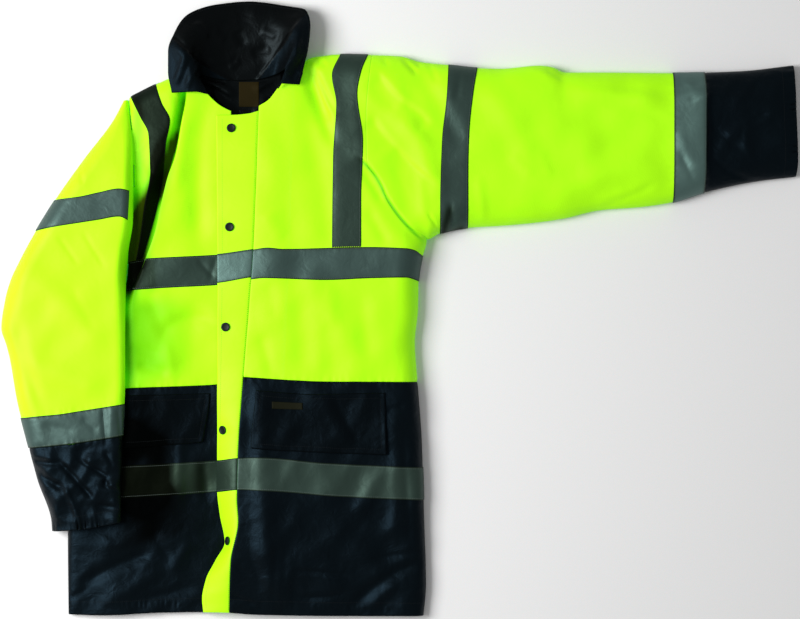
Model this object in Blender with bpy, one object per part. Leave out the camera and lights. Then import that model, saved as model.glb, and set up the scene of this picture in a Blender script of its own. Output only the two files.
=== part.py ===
"""Hi-vis work jacket, size L, laid on its back with one sleeve stretched out.

The jacket lies on z = 0 with its collar towards +Y.  The wearer's left is at +X,
where the left sleeve is stretched out; the right sleeve is folded down along the
body.  Every cloth piece is a wall that follows one of five surfaces:

  front   the upper face of the body and of the stretched sleeve
  back    their lower face, flat on the ground, turned up at the edges
  folded  the folded sleeve, a tube half on the ground and half on the body
  flap    the storm flap over the front zip
  collar  a band on ribs, opened out with its inner side up

A surface gives a point and an outward normal for a place between named lines of
the cut.  A panel is a grid between such lines; a tape on it is made from the same
lines, moved out along the normals.  Tables are in millimetres.
"""

import bmesh
import bpy
import numpy as np
from mathutils import Vector

MM = 0.001

# ---------------------------------------------------------------- driving sizes
CLOTH = 2.0             # outer shell, wadding and lining together
COLLAR_CLOTH = 3.5      # two shells with wadding between them
FLAP_CLOTH = 2.0
POCKET_CLOTH = 2.4
TAPE = 1.0              # reflective tape with its stitching
LINING = 1.0
SEAM = 0.3              # space between neighbouring pieces
SEAM_HALF = 0.18        # taken off each of two edges that are sewn together
FLAT = SEAM + TAPE      # underside of the back, so that its tapes lie on z = 0
EDGE_RISE = 5.0         # how far the back turns up at the outline
BACK_EDGE = FLAT + EDGE_RISE
FRONT_EDGE = BACK_EDGE + SEAM
RING_EDGE = BACK_EDGE + SEAM / 2
BACK_ROLL = 16.0        # width of the turned-up edge of the back
SIDE_ROLL = 18.0        # width of the rounded edge at the body's right side
EDGE_BLEND = 6.0        # how far two turned-up edges round into each other
FLAP_BEND = 1.6         # how round the flap falls from its seam to its free edge
FLAP_LIFT = 4.4         # height of the flap's free edge over the right front
UNDER_FLAP = 0.35       # share of the flap's width that the right front goes under
TAPE_UNDER_FLAP = 0.2   # the same for the tapes on the right front
SLEEVE_CLEAR = 4.0      # folded sleeve over the body's margin
FOLD_OUTER_ROLL = 34.0  # width of the rounded edges of the folded sleeve
FOLD_INNER_ROLL = 26.0
STUD_RADIUS = 7.2
STUD_HEIGHT = 2.6
STUD_TOP = 0.8          # share of the radius that is left at the top of a stud
CENTRE = (-0.9, 1.5)    # middle of the outline, moved to the origin

# ------------------------------------------- lines down the body: (y, x) pairs
SIDE_RIGHT = ((340, -436), (297, -431), (262, -427), (188, -426), (140, -427), (95, -434), (47, -438),
              (12, -453), (-49, -480), (-126, -506), (-193, -522), (-273, -531), (-356, -534), (-492, -533))
BRACE_RIGHT_OUT = ((342, -433), (308, -416), (281, -403), (220, -400), (164, -410), (95, -421),
                   (39, -434), (12, -443), (-49, -464), (-126, -483), (-492, -490))
BRACE_RIGHT_IN = ((362, -392), (330, -381), (303, -368), (268, -374), (210, -381), (164, -390),
                  (94, -410), (39, -429), (12, -437), (-49, -448), (-126, -458), (-492, -455))
CREST = ((383, -342), (346, -341), (297, -349), (247, -358), (210, -371), (164, -382), (127, -390),
         (63, -413), (15, -426), (-49, -422), (-126, -413), (-492, -400))
FLAP_FREE = ((314, -294), (38, -292), (-121, -293), (-289, -294), (-329, -290), (-374, -282),
             (-401, -296), (-433, -312), (-465, -318), (-492, -315))
FLAP_SEAM = ((324, -226), (111, -234), (-28, -244), (-113, -251), (-241, -259), (-305, -260),
             (-337, -258), (-401, -270), (-492, -274))
BRACE_LEFT_IN = ((409, -96), (375, -109), (329, -102), (242, -107), (15, -109), (-492, -109))
BRACE_LEFT_OUT = ((409, -51), (380, -62), (345, -68), (268, -59), (175, -62), (15, -62), (-492, -62))
SIDE_LEFT = ((409, -45), (367, -50), (319, -54), (234, -53), (204, -32), (178, -22), (158, -10),
             (134, 10), (112, 43), (76, 34), (47, 30), (-1, 29), (-52, 24), (-113, 28), (-209, 35),
             (-337, 39), (-441, 42), (-492, 38))
POCKET_RIGHT_OUT = ((-122, -448), (-137, -451), (-225, -459), (-337, -451), (-492, -448))
POCKET_RIGHT_IN = ((-122, -304), (-135, -304), (-214, -317), (-305, -324), (-401, -340), (-492, -355))
POCKET_LEFT_IN = ((-108, -227), (-129, -229), (-222, -237), (-305, -234), (-492, -227))
LABEL_START = ((-114, -205), (-231, -205), (-492, -192))
LABEL_END = ((-114, -155), (-231, -155), (-492, -141))
POCKET_LEFT_OUT = ((-114, -26), (-132, -24), (-230, -21), (-337, -16), (-492, -13))
BACK_BRACE_RIGHT_OUT = ((342, -433), (31, -400), (-492, -400))
BACK_BRACE_RIGHT_IN = ((364, -387), (31, -354), (-492, -354))

# ------------------------------------------ lines across the body: (x, y) pairs
FRONT_TOP = ((-436, 340), (-392, 362), (-365, 374), (-336, 385), (-325, 375), (-314, 354), (-301, 338),
             (-285, 325), (-264, 316), (-251, 314), (-240, 318), (-226, 326), (-211, 335), (-198, 351),
             (-184, 372), (-168, 390), (-144, 404), (-128, 407), (-96, 410), (-45, 409), (0, 407),
             (32, 398), (78, 393), (126, 388), (160, 387), (224, 392), (243, 390), (266, 381),
             (320, 381), (437, 380), (544, 383), (637, 393))
BACK_TOP = ((-436, 340), (-392, 362), (-365, 374), (-336, 385), (-320, 380), (-296, 374), (-256, 371),
            (-216, 375), (-189, 386), (-168, 390), (-144, 404), (-128, 407), (-96, 410), (-45, 409),
            (0, 407))
FLAP_TOP = ((-432, 308), (-294, 311), (-264, 311.5), (-240, 314), (-226, 318), (0, 340))
ARMPIT = ((-434, 95), (-346, 103), (-235, 114), (-109, 116), (10, 116), (43, 112), (64, 122), (109, 131),
          (160, 134), (224, 140), (264, 146), (320, 159), (384, 164), (437, 172), (490, 188),
          (576, 206), (637, 213))
CHEST_TOP = ((-438, 76), (-403, 82), (-346, 85), (-293, 88), (-235, 96), (-211, 99), (-187, 97),
             (-51, 100), (10, 98), (24, 95), (34, 88))
CHEST_END = ((-445, 28), (-426, 31), (-368, 35), (-293, 39), (-238, 48), (-218, 50), (-120, 47),
             (-46, 50), (10, 51), (19, 49), (30, 45))
WAIST = ((-506, -129), (-440, -126), (-384, -124), (-320, -122), (-293, -120), (-245, -108), (-187, -112),
         (-122, -116), (-58, -115), (27, -116))
LEFT_WAIST = ((-262, -107), (-122, -115), (27, -116))
BACK_WAIST = ((-506, -129), (27, -116))
POCKET_TOP = ((-512, -140), (-459, -138), (-304, -134), (-251, -126), (-229, -129), (-134, -135),
              (-24, -133), (30, -132))
LABEL_TOP = ((-515, -153), (-304, -148), (-251, -143), (-205, -147), (-155, -149), (32, -150))
LABEL_FOOT = ((-518, -166), (-304, -161), (-251, -154), (-205, -158), (-155, -160), (32, -162))
POCKET_END = ((-525, -225), (-459, -222), (-390, -218), (-317, -213), (-293, -210), (-237, -222),
              (-134, -228), (-21, -232), (35, -233))
HEM_TAPE_TOP = ((-533, -254), (-442, -250), (-360, -246), (-294, -242), (-258, -237), (-224, -236),
                (-122, -245), (37, -253))
HEM_TAPE_END = ((-534, -305), (-442, -302), (-352, -297), (-294, -293), (-258, -288), (-208, -290),
                (-101, -299), (38, -306))
HEM = ((-533, -490), (-480, -491), (-384, -487), (-293, -486), (-224, -490), (-64, -492), (38, -492))

# -------------- lines across the stretched sleeve: (y, x), and its own heights
ARM_TAPE_IN = ((399, 78), (335, 74), (271, 67), (167, 64), (118, 64))
ARM_TAPE_OUT = ((396, 126), (351, 118), (287, 111), (223, 109), (124, 109))
ELBOW = ((385, 290), (150, 290))
CUFF_TAPE_IN = ((399, 438), (159, 438))
CUFF_TAPE_OUT = ((399, 490), (159, 489))
CUFF_END = ((399, 632), (351, 634), (271, 637), (236, 638), (199, 635))
SLEEVE_HEIGHT = ((60, 44), (150, 43), (300, 41), (450, 38), (500, 35), (580, 33), (637, 27))

# ---- the folded sleeve: edges (y, x), lines across (x, y), heights along (y, z)
FOLD_EDGE_OUT = ((340, -442), (303, -461), (239, -509), (175, -554), (111, -593), (79, -610), (47, -625),
                 (15, -634), (-30, -640), (-57, -632), (-81, -626), (-145, -615), (-209, -599),
                 (-273, -582), (-337, -560), (-358, -558))
FOLD_EDGE_IN = ((340, -437.2), (297, -432.2), (262, -428.2), (188, -427.2), (140, -428.2),
                (95, -435.2), (47, -439), (-113, -439), (-202, -443), (-297, -446), (-358, -446))
FOLD_HEAD = ((-448, 331), (-432, 331))
FOLD_ARM_TOP = ((-554, 175), (-512, 180), (-480, 187), (-448, 193), (-426, 188))
FOLD_ARM_END = ((-581, 126), (-544, 133), (-512, 138), (-480, 143), (-448, 148), (-427, 138))
FOLD_ELBOW = ((-626, 30), (-440, 40))
FOLD_CUFF_TOP = ((-611, -174), (-576, -170), (-544, -167), (-512, -162), (-442, -151))
FOLD_CUFF_END = ((-595, -222), (-544, -217), (-512, -213), (-443, -202))
FOLD_END = ((-560, -356), (-536, -354), (-504, -351), (-446, -340))
FOLD_HEIGHT = ((331, 15), (300, 27), (250, 40), (190, 48), (95, 50), (-100, 50), (-200, 48), (-280, 46),
               (-352, 40))
FOLD_INNER_EDGE = ((331, RING_EDGE), (95, RING_EDGE), (50, 17), (20, 27), (-40, 36), (-352, 33))
FOLD_OUTER_EDGE = ((331, RING_EDGE), (270, 12), (-352, 12))

# --- widths of the rounded edges of the front, along x: at the foot and at the top
ROLL_WIDTH = ((-60, 38), (43, 40), (120, 55), (300, 60), (480, 52), (640, 46))
SHOULDER_WIDTH = ((-440, 24), (-340, 30), (-100, 40), (120, 55), (300, 60), (480, 52), (640, 46))
# --- the closed edge over the shoulders leaves the open neck out
SHOULDER_RIGHT = ((-436, 340), (-392, 362), (-365, 374), (-346, 381), (-330, 440), (-300, 520))
NECK_LEFT = ((-215, 520), (-186, 440), (-170, 389))

# ------- height of the body's upper face: y, then z at each of the nine lines
HEIGHT_LINES = (SIDE_RIGHT, BRACE_RIGHT_OUT, BRACE_RIGHT_IN, CREST, FLAP_FREE, FLAP_SEAM,
                BRACE_LEFT_IN, BRACE_LEFT_OUT, SIDE_LEFT)
HEIGHTS = (
    # y    side out  in crest free seam  in  out side
    (400,  20, 26, 32, 31, 28, 30, 32, 35, 35),
    (330,  20, 27, 33, 34, 30, 32, 35, 39, 39),
    (250,  20, 31, 28, 39, 33, 37, 38, 42, 42),
    (190,  19, 30, 15, 40, 33, 38, 39, 41, 44),
    (100,  14, 14, 14, 39, 32, 38, 40, 41, 43),
    (50,   14, 16, 20, 36, 31, 38, 40, 40, 40),
    (0,    18, 22, 26, 33, 30, 38, 39, 39, 38),
    (-60,  20, 24, 26, 31, 27, 37, 38, 38, 36),
    (-120, 20, 24, 26, 30, 22, 38, 38, 37, 35),
    (-200, 20, 24, 25, 27, 15, 42, 38, 35, 33),
    (-300, 19, 23, 24, 24, 10, 47, 38, 32, 29),
    (-375, 17, 21, 22, 20,  8, 48, 36, 30, 26),
    (-430, 15, 19, 20, 17,  9, 38, 31, 26, 22),
    (-492, 12, 16, 16, 15, 11, 22, 22, 20, 17),
)

# ------------ the largest folds: two ends (x, y), width and height of the ridge
FOLDS = (
    # start            end            width height
    ((-150, 388), (-108, 268),   11,  -6),      # drag line from the collar
    ((-226, 200), (-205, -70),   20,   3),      # along the left front
    ((-150, 60),  (-60, -90),    24,   4),      # slack over the left pocket
    ((-14, 370),  (60, 190),     18,   5),      # sleeve head
    ((30, 385),   (100, 260),    16,  -4),
    ((150, 350),  (230, 200),    22,   4),
    ((250, 370),  (420, 330),    20,   4),
    ((250, 190),  (400, 240),    22,   4),
    ((460, 350),  (620, 320),    16,   4),      # cuff
    ((-590, 60),  (-470, -60),   22,   4),      # folded sleeve
    ((-600, -80), (-480, -130),  20,   4),
    ((-120, -330), (10, -470),   22,   4),      # skirt
)

# ------ ribs of the opened collar: base, break and rim points, each (x, y, z)
COLLAR_RIBS = (
    # base             break             rim
    (-306, 344, 38,   -326, 347, 46,   -365, 346, 38),
    (-312, 357, 39,   -336, 374, 50,   -371, 380, 38),
    (-320, 371, 39,   -342, 402, 50,   -371, 412, 38),
    (-318, 381, 30,   -338, 430, 42,   -360, 446, 32),
    (-300, 377, 10,   -318, 450, 28,   -341, 473, 22),
    (-278, 373.5, 7,  -284, 460, 17,   -299, 489, 14),
    (-256, 371.6, 7,  -250, 462, 14,   -243, 495, 11),
    (-230, 374, 7,    -212, 460, 17,   -190, 489, 13),
    (-205, 381, 10,   -182, 452, 30,   -152, 481, 24),
    (-187, 388, 31,   -166, 436, 44,   -143, 454, 34),
    (-178, 385, 40,   -166, 412, 50,   -146, 418, 38),
    (-186, 370, 40,   -180, 384, 51,   -154, 383, 40),
    (-196, 353, 39,   -190, 360, 46,   -160, 359, 40),
)

# ---- small pieces that lie in the neck: x from, x to, y from, y to (flat sheets)
NECK_LABEL = (-259, -227, 326, 366)
SIZE_TAB = (-258, -240, 300, 321)
LINING_FOOT = 288
LINING_SIDES = (-318, -190)

# ----- press studs: y on the flap, share of its width, space under the stud's cap
STUDS = ((290, 0.36, 0.6), (132, 0.34, 0.6), (-28, 0.28, 0.6), (-193, 0.28, 0.6), (-370, 0.44, 1.7))


# ------------------------------------------------------------------ smooth lines
def hermite(t0, t1, v0, v1, m0, m1, t):
    """Cubic piece from (t0, v0) to (t1, v1) with the end slopes m0 and m1."""
    step = t1 - t0
    f = (t - t0) / step
    return ((1 + 2 * f) * (1 - f) ** 2 * v0 + f * (1 - f) ** 2 * step * m0
            + f * f * (3 - 2 * f) * v1 + f * f * (f - 1) * step * m1)


def slopes(t, v):
    """Slopes at the knots (rows) that keep a curve through them from overshooting."""
    secant = np.diff(v, axis=0) / np.diff(t, axis=0)
    a, b = secant[:-1], secant[1:]
    same = a * b > 0
    inner = np.where(same, 2 * a * b / np.where(same, a + b, 1), 0)
    return np.concatenate([secant[:1], inner, secant[-1:]])


def curve(pairs):
    """Smooth function through (place, value) pairs, straight on beyond both ends."""
    t, v = np.array(sorted(pairs), float).T
    m = slopes(t, v)

    def at(q):
        inside = np.clip(q, t[0], t[-1])
        i = np.clip(np.searchsorted(t, inside, side="right") - 1, 0, len(t) - 2)
        value = hermite(t[i], t[i + 1], v[i], v[i + 1], m[i], m[i + 1], inside)
        return value + (q - inside) * np.where(q < t[0], m[0], m[-1])
    return at


def between(t, v, q):
    """Smooth value at q from knots t with values v, which have one column a point."""
    m = slopes(t, v)
    q = np.clip(q, t[0], t[-1])
    i = np.clip((q >= t).sum(axis=0) - 1, 0, len(t) - 2)
    k = np.arange(len(q))
    return hermite(t[i, k], t[i + 1, k], v[i, k], v[i + 1, k], m[i, k], m[i + 1, k], q)


def smooth_step(f):
    """From 0 to 1 with level ends, for f from 0 to 1."""
    f = np.clip(f, 0, 1)
    return f * f * (3 - 2 * f)


def smooth_min(a, b, width=0.3):
    """The smaller of a and b, with a rounded change-over."""
    h = np.clip(width - np.abs(a - b), 0, None) / width
    return np.minimum(a, b) - h * h * width / 4


def on_lines(lines, place, number):
    """Value at a place on the lines, between line numbers such as 2.5."""
    i = np.clip(number.astype(int), 0, len(lines) - 2)
    table = np.array([line(place) for line in lines])
    k = np.arange(len(place))
    f = number - i
    return table[i, k] * (1 - f) + table[i + 1, k] * f


def crossing(down, across, u, v):
    """Plan point where line u of those down meets line v of those across."""
    x = np.full(u.shape, -200.0)
    y = np.zeros(u.shape)
    for _ in range(16):
        y = on_lines(across, x, v)
        x = on_lines(down, y, u)
    return x, y


def curves(*tables):
    return [curve(table) for table in tables]


# -------------------------------------------------------- front and back surfaces
side_right, side_left = curves(SIDE_RIGHT, SIDE_LEFT)
shoulder_right, shoulder_left = curves(SHOULDER_RIGHT, NECK_LEFT + FRONT_TOP[16:])
under_arm = curve(((-600, 112),) + ARMPIT[5:])
body_side = curve(((500, 43),) + SIDE_LEFT[8:])
height_lines = curves(*HEIGHT_LINES)
height_rows = [curve([(row[0], row[n + 1]) for row in HEIGHTS]) for n in range(len(HEIGHT_LINES))]
sleeve_height = curve(SLEEVE_HEIGHT)
roll_width, shoulder_width = curves(ROLL_WIDTH, SHOULDER_WIDTH)


def outline_depth(x, y):
    """Distance into the outline from its closed edges: left and under arm, shoulders, right."""
    from_side = body_side(y) - x
    from_under = y - under_arm(x)
    both = np.hypot(np.maximum(from_side, 0), np.maximum(from_under, 0))
    below = both + np.minimum(np.maximum(from_side, from_under), 0)
    above = np.where(x < -260, shoulder_right(x), shoulder_left(x)) - y
    return below, above, x - side_right(y)


def front_reach(x, y):
    """0 on the outline and 1 where the rounded edge of the front ends."""
    below, above, right = outline_depth(x, y)
    reach = smooth_min(below / roll_width(x), above / shoulder_width(x))
    return smooth_min(reach, right / SIDE_ROLL)


def back_reach(x, y):
    below, above, right = outline_depth(x, y)
    return smooth_min(smooth_min(below, above, EDGE_BLEND), right, EDGE_BLEND) / BACK_ROLL


def fold_height(x, y):
    """Sum of the soft ridges and troughs of the table of folds."""
    total = np.zeros(x.shape)
    for start, end, width, height in FOLDS:
        along = np.subtract(end, start)
        length = np.hypot(*along)
        dx, dy = x - start[0], y - start[1]
        f = (dx * along[0] + dy * along[1]) / length ** 2
        off = (dx * along[1] - dy * along[0]) / length
        fade = smooth_step((0.5 - np.abs(f - 0.5)) * 3 + 0.4)
        total += height * fade * np.exp(-(off / width) ** 2)
    return total


def front_height(x, y):
    """Height of the upper face away from its rounded edges."""
    knots = np.array([line(y) for line in height_lines])
    values = np.array([row(y) for row in height_rows])
    body = between(knots, values, x)
    share = smooth_step((x + 20) / 140)
    return body * (1 - share) + sleeve_height(x) * share + fold_height(x, y)


def gradient(field, x, y, step=0.5):
    """Slope of a field along x and y."""
    return np.array([(field(x + step, y) - field(x - step, y)) / (2 * step),
                     (field(x, y + step) - field(x, y - step)) / (2 * step)])


def rolled(x, y, edge, swell, reach, side):
    """Point and outward normal of a face that rolls from its edge height.

    edge, swell and reach are fields; side is 1 for an upper face, -1 for a lower one.
    """
    near = np.clip(reach(x, y), 0, 1)
    cos, sin = 1 - near, np.sqrt(near * (2 - near))
    rise = swell(x, y)
    z = edge(x, y) + side * rise * sin
    slope = gradient(edge, x, y) + side * gradient(swell, x, y) * sin
    outward = gradient(reach, x, y) * rise * cos
    normal = np.array([-side * sin * slope[0] - outward[0], -side * sin * slope[1] - outward[1],
                       side * sin])
    return np.stack([x, y, z], 1), (normal / np.linalg.norm(normal, axis=0)).T


def level(height):
    return lambda x, y: np.full(x.shape, float(height))


def front_face(x, y, edge=FRONT_EDGE):
    return rolled(x, y, level(edge), lambda p, q: front_height(p, q) - edge, front_reach, 1)


def back_face(x, y, edge=BACK_EDGE):
    return rolled(x, y, level(edge), level(edge - FLAT), back_reach, -1)


def right_front_face(x, y):
    """The right front runs on level under the flap."""
    stop = curve(FLAP_FREE)
    held = lambda p, q: front_height(np.minimum(p, stop(q)), q) - FRONT_EDGE
    return rolled(x, y, level(FRONT_EDGE), held, front_reach, 1)


# ------------------------------------------------------- flap and folded sleeve
flap_free, flap_seam = curves(FLAP_FREE, FLAP_SEAM)


def flap_height(x, y):
    """From over the right front at the free edge to the left front at the seam."""
    low, high = flap_free(y), flap_seam(y)
    f = (x - low) / (high - low)
    start = front_height(low, y) + FLAP_LIFT
    end = front_height(high, y)
    return start + (end - start) * (1 - (1 - np.clip(f, 0, 1)) ** FLAP_BEND)


def flap_face(x, y):
    slope = gradient(flap_height, x, y)
    normal = np.array([-slope[0], -slope[1], np.ones(x.shape)])
    return np.stack([x, y, flap_height(x, y)], 1), (normal / np.linalg.norm(normal, axis=0)).T


fold_out, fold_in = curves(FOLD_EDGE_OUT, FOLD_EDGE_IN)
fold_height_along, fold_inner, fold_outer = curves(FOLD_HEIGHT, FOLD_INNER_EDGE, FOLD_OUTER_EDGE)


def fold_edge(x, y):
    """Height of the folded sleeve's edges, from the outer one to the inner one."""
    f = smooth_step((x - fold_out(y)) / (fold_in(y) - fold_out(y)))
    return fold_outer(y) * (1 - f) + fold_inner(y) * f


def fold_upper(x, y):
    return fold_height_along(y) + fold_height(x, y) * smooth_step((270 - y) / 60) - fold_edge(x, y)


def fold_lower(x, y):
    """Down to the ground, or to the body's margin where the sleeve lies on it."""
    over = smooth_step((x - side_right(y) + 52) / 46) * smooth_step((95 - y) / 55)
    margin = front_height(np.maximum(x, side_right(y)), y) + SLEEVE_CLEAR
    return fold_edge(x, y) - (FLAT + (margin - FLAT) * over)


def fold_reach(x, y):
    width = fold_in(y) - fold_out(y)
    outer, inner = np.minimum(FOLD_OUTER_ROLL, width / 2), np.minimum(FOLD_INNER_ROLL, width / 2)
    return smooth_min((x - fold_out(y)) / outer, (fold_in(y) - x) / inner)


def fold_face(x, y, side):
    return rolled(x, y, fold_edge, fold_upper if side > 0 else fold_lower, fold_reach, side)


# ----------------------------------------------------------- surfaces on (u, v)
def panel(face, down, across):
    """Surface between numbered lines: u counts the lines down, v those across."""
    down, across = curves(*down), curves(*across)
    return lambda u, v: face(*crossing(down, across, u, v))


def ring(down, across, upper, lower, turn=False):
    """Tube between two edge lines: u runs along it, v once round it.

    v is 0 on the first edge, 1 on the other and 2 on the first again, and so on.
    """
    down, across = curves(*down), curves(*across)

    def surface(u, v):
        v = v % 2
        over = v <= 1
        f = np.where(over, v, 2 - v)
        x, y = crossing(down, across, f, u) if turn else crossing(down, across, u, f)
        up, down_side = upper(x, y), lower(x, y)
        pick = over[:, None]
        return np.where(pick, up[0], down_side[0]), np.where(pick, up[1], down_side[1])
    return surface


collar_curves = [curve(list(enumerate(column))) for column in np.array(COLLAR_RIBS, float).T]


def collar_point(u, v):
    knots = np.repeat(np.arange(3.0)[:, None], len(u), axis=1)
    ribs = [column(u) for column in collar_curves]
    return np.stack([between(knots, np.array(ribs[n::3]), v) for n in range(3)], 1)


def collar_face(u, v):
    """Opened collar: u counts the ribs, v is 0 at the base, 1 on the break, 2 at the rim."""
    step = 0.02
    last = len(COLLAR_RIBS) - 1
    u0, u1 = np.clip(u - step, 0, last), np.clip(u + step, 0, last)
    v0, v1 = np.clip(v - step, 0, 2), np.clip(v + step, 0, 2)
    along = collar_point(u1, v) - collar_point(u0, v)
    up = collar_point(u, v1) - collar_point(u, v0)
    normal = np.cross(along, up)
    return collar_point(u, v), normal / np.linalg.norm(normal, axis=1)[:, None]


# --------------------------------------------------------------- making objects
jacket = None


def material(name, colour, roughness, metallic=0.0):
    made = bpy.data.materials.new(name)
    made.use_nodes = True
    shader = made.node_tree.nodes["Principled BSDF"]
    shader.inputs["Base Color"].default_value = (*colour, 1)
    shader.inputs["Roughness"].default_value = roughness
    shader.inputs["Metallic"].default_value = metallic
    return made


def finish(name, bm, look):
    """Turn a bmesh in millimetres into a named object with its own material."""
    for vert in bm.verts:
        vert.co = (vert.co.x * MM - CENTRE[0] * MM, vert.co.y * MM - CENTRE[1] * MM, vert.co.z * MM)
    mesh = bpy.data.meshes.new(name)
    bm.to_mesh(mesh)
    bm.free()
    mesh.materials.append(material(name, *look))
    mesh.shade_smooth()
    mesh.set_sharp_from_angle(angle=0.8)
    made = bpy.data.objects.new(name, mesh)
    jacket.objects.link(made)
    return made


def inset(values, other, surface, seams, swap):
    """Move the first and last grid line in by half a seam where a seam is sewn there."""
    moved = np.repeat(values[:, None], len(other), axis=1)
    for end, inward, sewn in ((0, 1, seams[0]), (-1, -1, seams[1])):
        if not sewn:
            continue
        step = 0.01 * inward
        here, there = np.full(other.shape, values[end]), np.full(other.shape, values[end] + step)
        a, b = (surface(other, here)[0], surface(other, there)[0]) if swap else \
               (surface(here, other)[0], surface(there, other)[0])
        speed = np.linalg.norm(b - a, axis=1) / abs(step)
        moved[end] += inward * SEAM_HALF / speed
    return moved


def cloth(name, surface, us, vs, low, high, look, seams=(0, 0, 0, 0), closed=False):
    """A wall between the offsets low and high of a surface, on a grid of lines.

    seams says which of the sides u first, u last, v first, v last is a seam.
    """
    us, vs = np.array(us, float), np.array(vs, float)
    columns, rows = len(us), len(vs)
    u_grid = inset(us, vs, surface, seams[:2], swap=False)
    v_grid = inset(vs, us, surface, seams[2:], swap=True).T
    points, normals = surface(u_grid.ravel(), v_grid.ravel())
    outer = (points + normals * high).reshape(columns, rows, 3)
    inner = (points + normals * low).reshape(columns, rows, 3)

    bm = bmesh.new()
    bmesh.ops.create_grid(bm, x_segments=columns - 1, y_segments=rows - 1, size=0.5)
    column_of = bm.verts.layers.int.new("column")
    row_of = bm.verts.layers.int.new("row")
    for vert in bm.verts:
        vert[column_of] = round((vert.co.x + 0.5) * (columns - 1))
        vert[row_of] = round((vert.co.y + 0.5) * (rows - 1))
        vert.co = outer[vert[column_of], vert[row_of]]
    if closed:
        bmesh.ops.remove_doubles(bm, verts=bm.verts[:], dist=0.001)
    walls = bmesh.ops.extrude_face_region(bm, geom=bm.faces[:])
    for vert in walls["geom"]:
        if isinstance(vert, bmesh.types.BMVert):
            vert.co = inner[vert[column_of], vert[row_of]]
    bmesh.ops.recalc_face_normals(bm, faces=bm.faces[:])
    bmesh.ops.triangulate(bm, faces=bm.faces[:])
    if bm.calc_volume(signed=True) < 0:
        bmesh.ops.reverse_faces(bm, faces=bm.faces[:])
    return finish(name, bm, look)


def flat_sheet(name, sides, low, high, look, top=None):
    """A small flat piece that lies inside the neck, its upper edge level or on a curve."""
    x0, x1, y0, y1 = sides
    bm = bmesh.new()
    bmesh.ops.create_grid(bm, x_segments=8 if top else 1, y_segments=1, size=0.5)
    for vert in bm.verts:
        x = x0 + (x1 - x0) * (vert.co.x + 0.5)
        up = float(top(np.array([x]))[0]) if top else y1
        vert.co = (x, y0 + (up - y0) * (vert.co.y + 0.5), low)
    walls = bmesh.ops.extrude_face_region(bm, geom=bm.faces[:])
    bmesh.ops.translate(bm, vec=(0, 0, high - low),
                        verts=[v for v in walls["geom"] if isinstance(v, bmesh.types.BMVert)])
    bmesh.ops.recalc_face_normals(bm, faces=bm.faces[:])
    return finish(name, bm, look)


def press_stud(name, y, share, seat):
    """A low round cap that sits square on the flap."""
    x = flap_free(np.array([float(y)])) * (1 - share) + flap_seam(np.array([float(y)])) * share
    point, normal = flap_face(x, np.array([float(y)]))
    bm = bmesh.new()
    bmesh.ops.create_cone(bm, cap_ends=True, segments=16, radius1=STUD_RADIUS,
                          radius2=STUD_RADIUS * STUD_TOP, depth=STUD_HEIGHT)
    bmesh.ops.translate(bm, verts=bm.verts[:], vec=(0, 0, STUD_HEIGHT / 2 + seat))
    turn = Vector(normal[0]).to_track_quat("Z", "Y").to_matrix()
    bmesh.ops.rotate(bm, verts=bm.verts[:], cent=(0, 0, 0), matrix=turn)
    bmesh.ops.translate(bm, verts=bm.verts[:], vec=point[0])
    return finish(name, bm, STUD_BLACK)


# ------------------------------------------------------------------------ looks
YELLOW = ((0.58, 1.0, 0.02), 0.6)
NAVY = ((0.006, 0.013, 0.024), 0.5)
SILVER = ((0.13, 0.18, 0.17), 0.45)
BLACK = ((0.004, 0.004, 0.005), 0.45)
STUD_BLACK = ((0.01, 0.03, 0.02), 0.35)
LABEL_BROWN = ((0.12, 0.07, 0.02), 0.7)

# --------------------------------------------------- grid lines of the pieces
ROUND = [(1 - np.cos(np.pi * k / 11)) / 2 for k in range(12)]    # close at both edges
AROUND = ROUND + [2 - f for f in ROUND[-2::-1]]                  # all round a tube
UPPER = ROUND + [2, 3, 3.25, 3.5, 3.75, 4]                       # shoulder to waist
FOOT = [6, 6.2, 6.42, 6.56, 6.72, 7]                             # where the flap tips over
SKIRT = [0, 1, 2, 3, 3.5, 4, 5] + FOOT                           # waist to hem
LEFT_TOP = [0, 0.33, 0.66, 1, 1.5, 2, 2.3, 2.58, 2.77, 2.87, 2.95, 2.987, 3]
LEFT_SKIRT = [0, 1, 2, 3, 3.33, 3.66, 4, 4.33, 4.63, 4.8, 4.92, 4.98, 5]
RIGHT_TOP = [0, 0.03, 0.12, 0.3, 0.6, 1, 1.5, 2, 2.5, 3, 3.25, 3.5, 3.75, 4, 4 + UNDER_FLAP]
RIGHT_SKIRT = [0, 0.012, 0.05, 0.13, 0.3, 0.6, 1, 1.25, 1.5, 1.75, 2, 3, 3 + UNDER_FLAP]
BACK_TOP_LINES = [0, 0.03, 0.12, 0.3, 1, 2, 2.3, 2.6, 3, 3.3, 3.6, 4, 5, 5.7, 5.88, 5.97, 6]
BACK_SKIRT_LINES = [0, 0.008, 0.025, 0.06, 0.12, 0.5, 1, 1.5, 1.88, 1.94, 1.975, 1.992, 2]
FOLD_ROWS = [0, 0.2, 0.4, 0.7, 1, 2, 2.5, 3, 3.25, 3.5, 3.75, 4, 5]   # folded sleeve to its navy

TOP_ACROSS = (FRONT_TOP, ARMPIT, CHEST_TOP, CHEST_END, WAIST)
SKIRT_ACROSS = (WAIST, POCKET_TOP, LABEL_TOP, LABEL_FOOT, POCKET_END, HEM_TAPE_TOP, HEM_TAPE_END, HEM)
OVER = (SEAM, SEAM + TAPE)                                       # a tape on its panel


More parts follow.
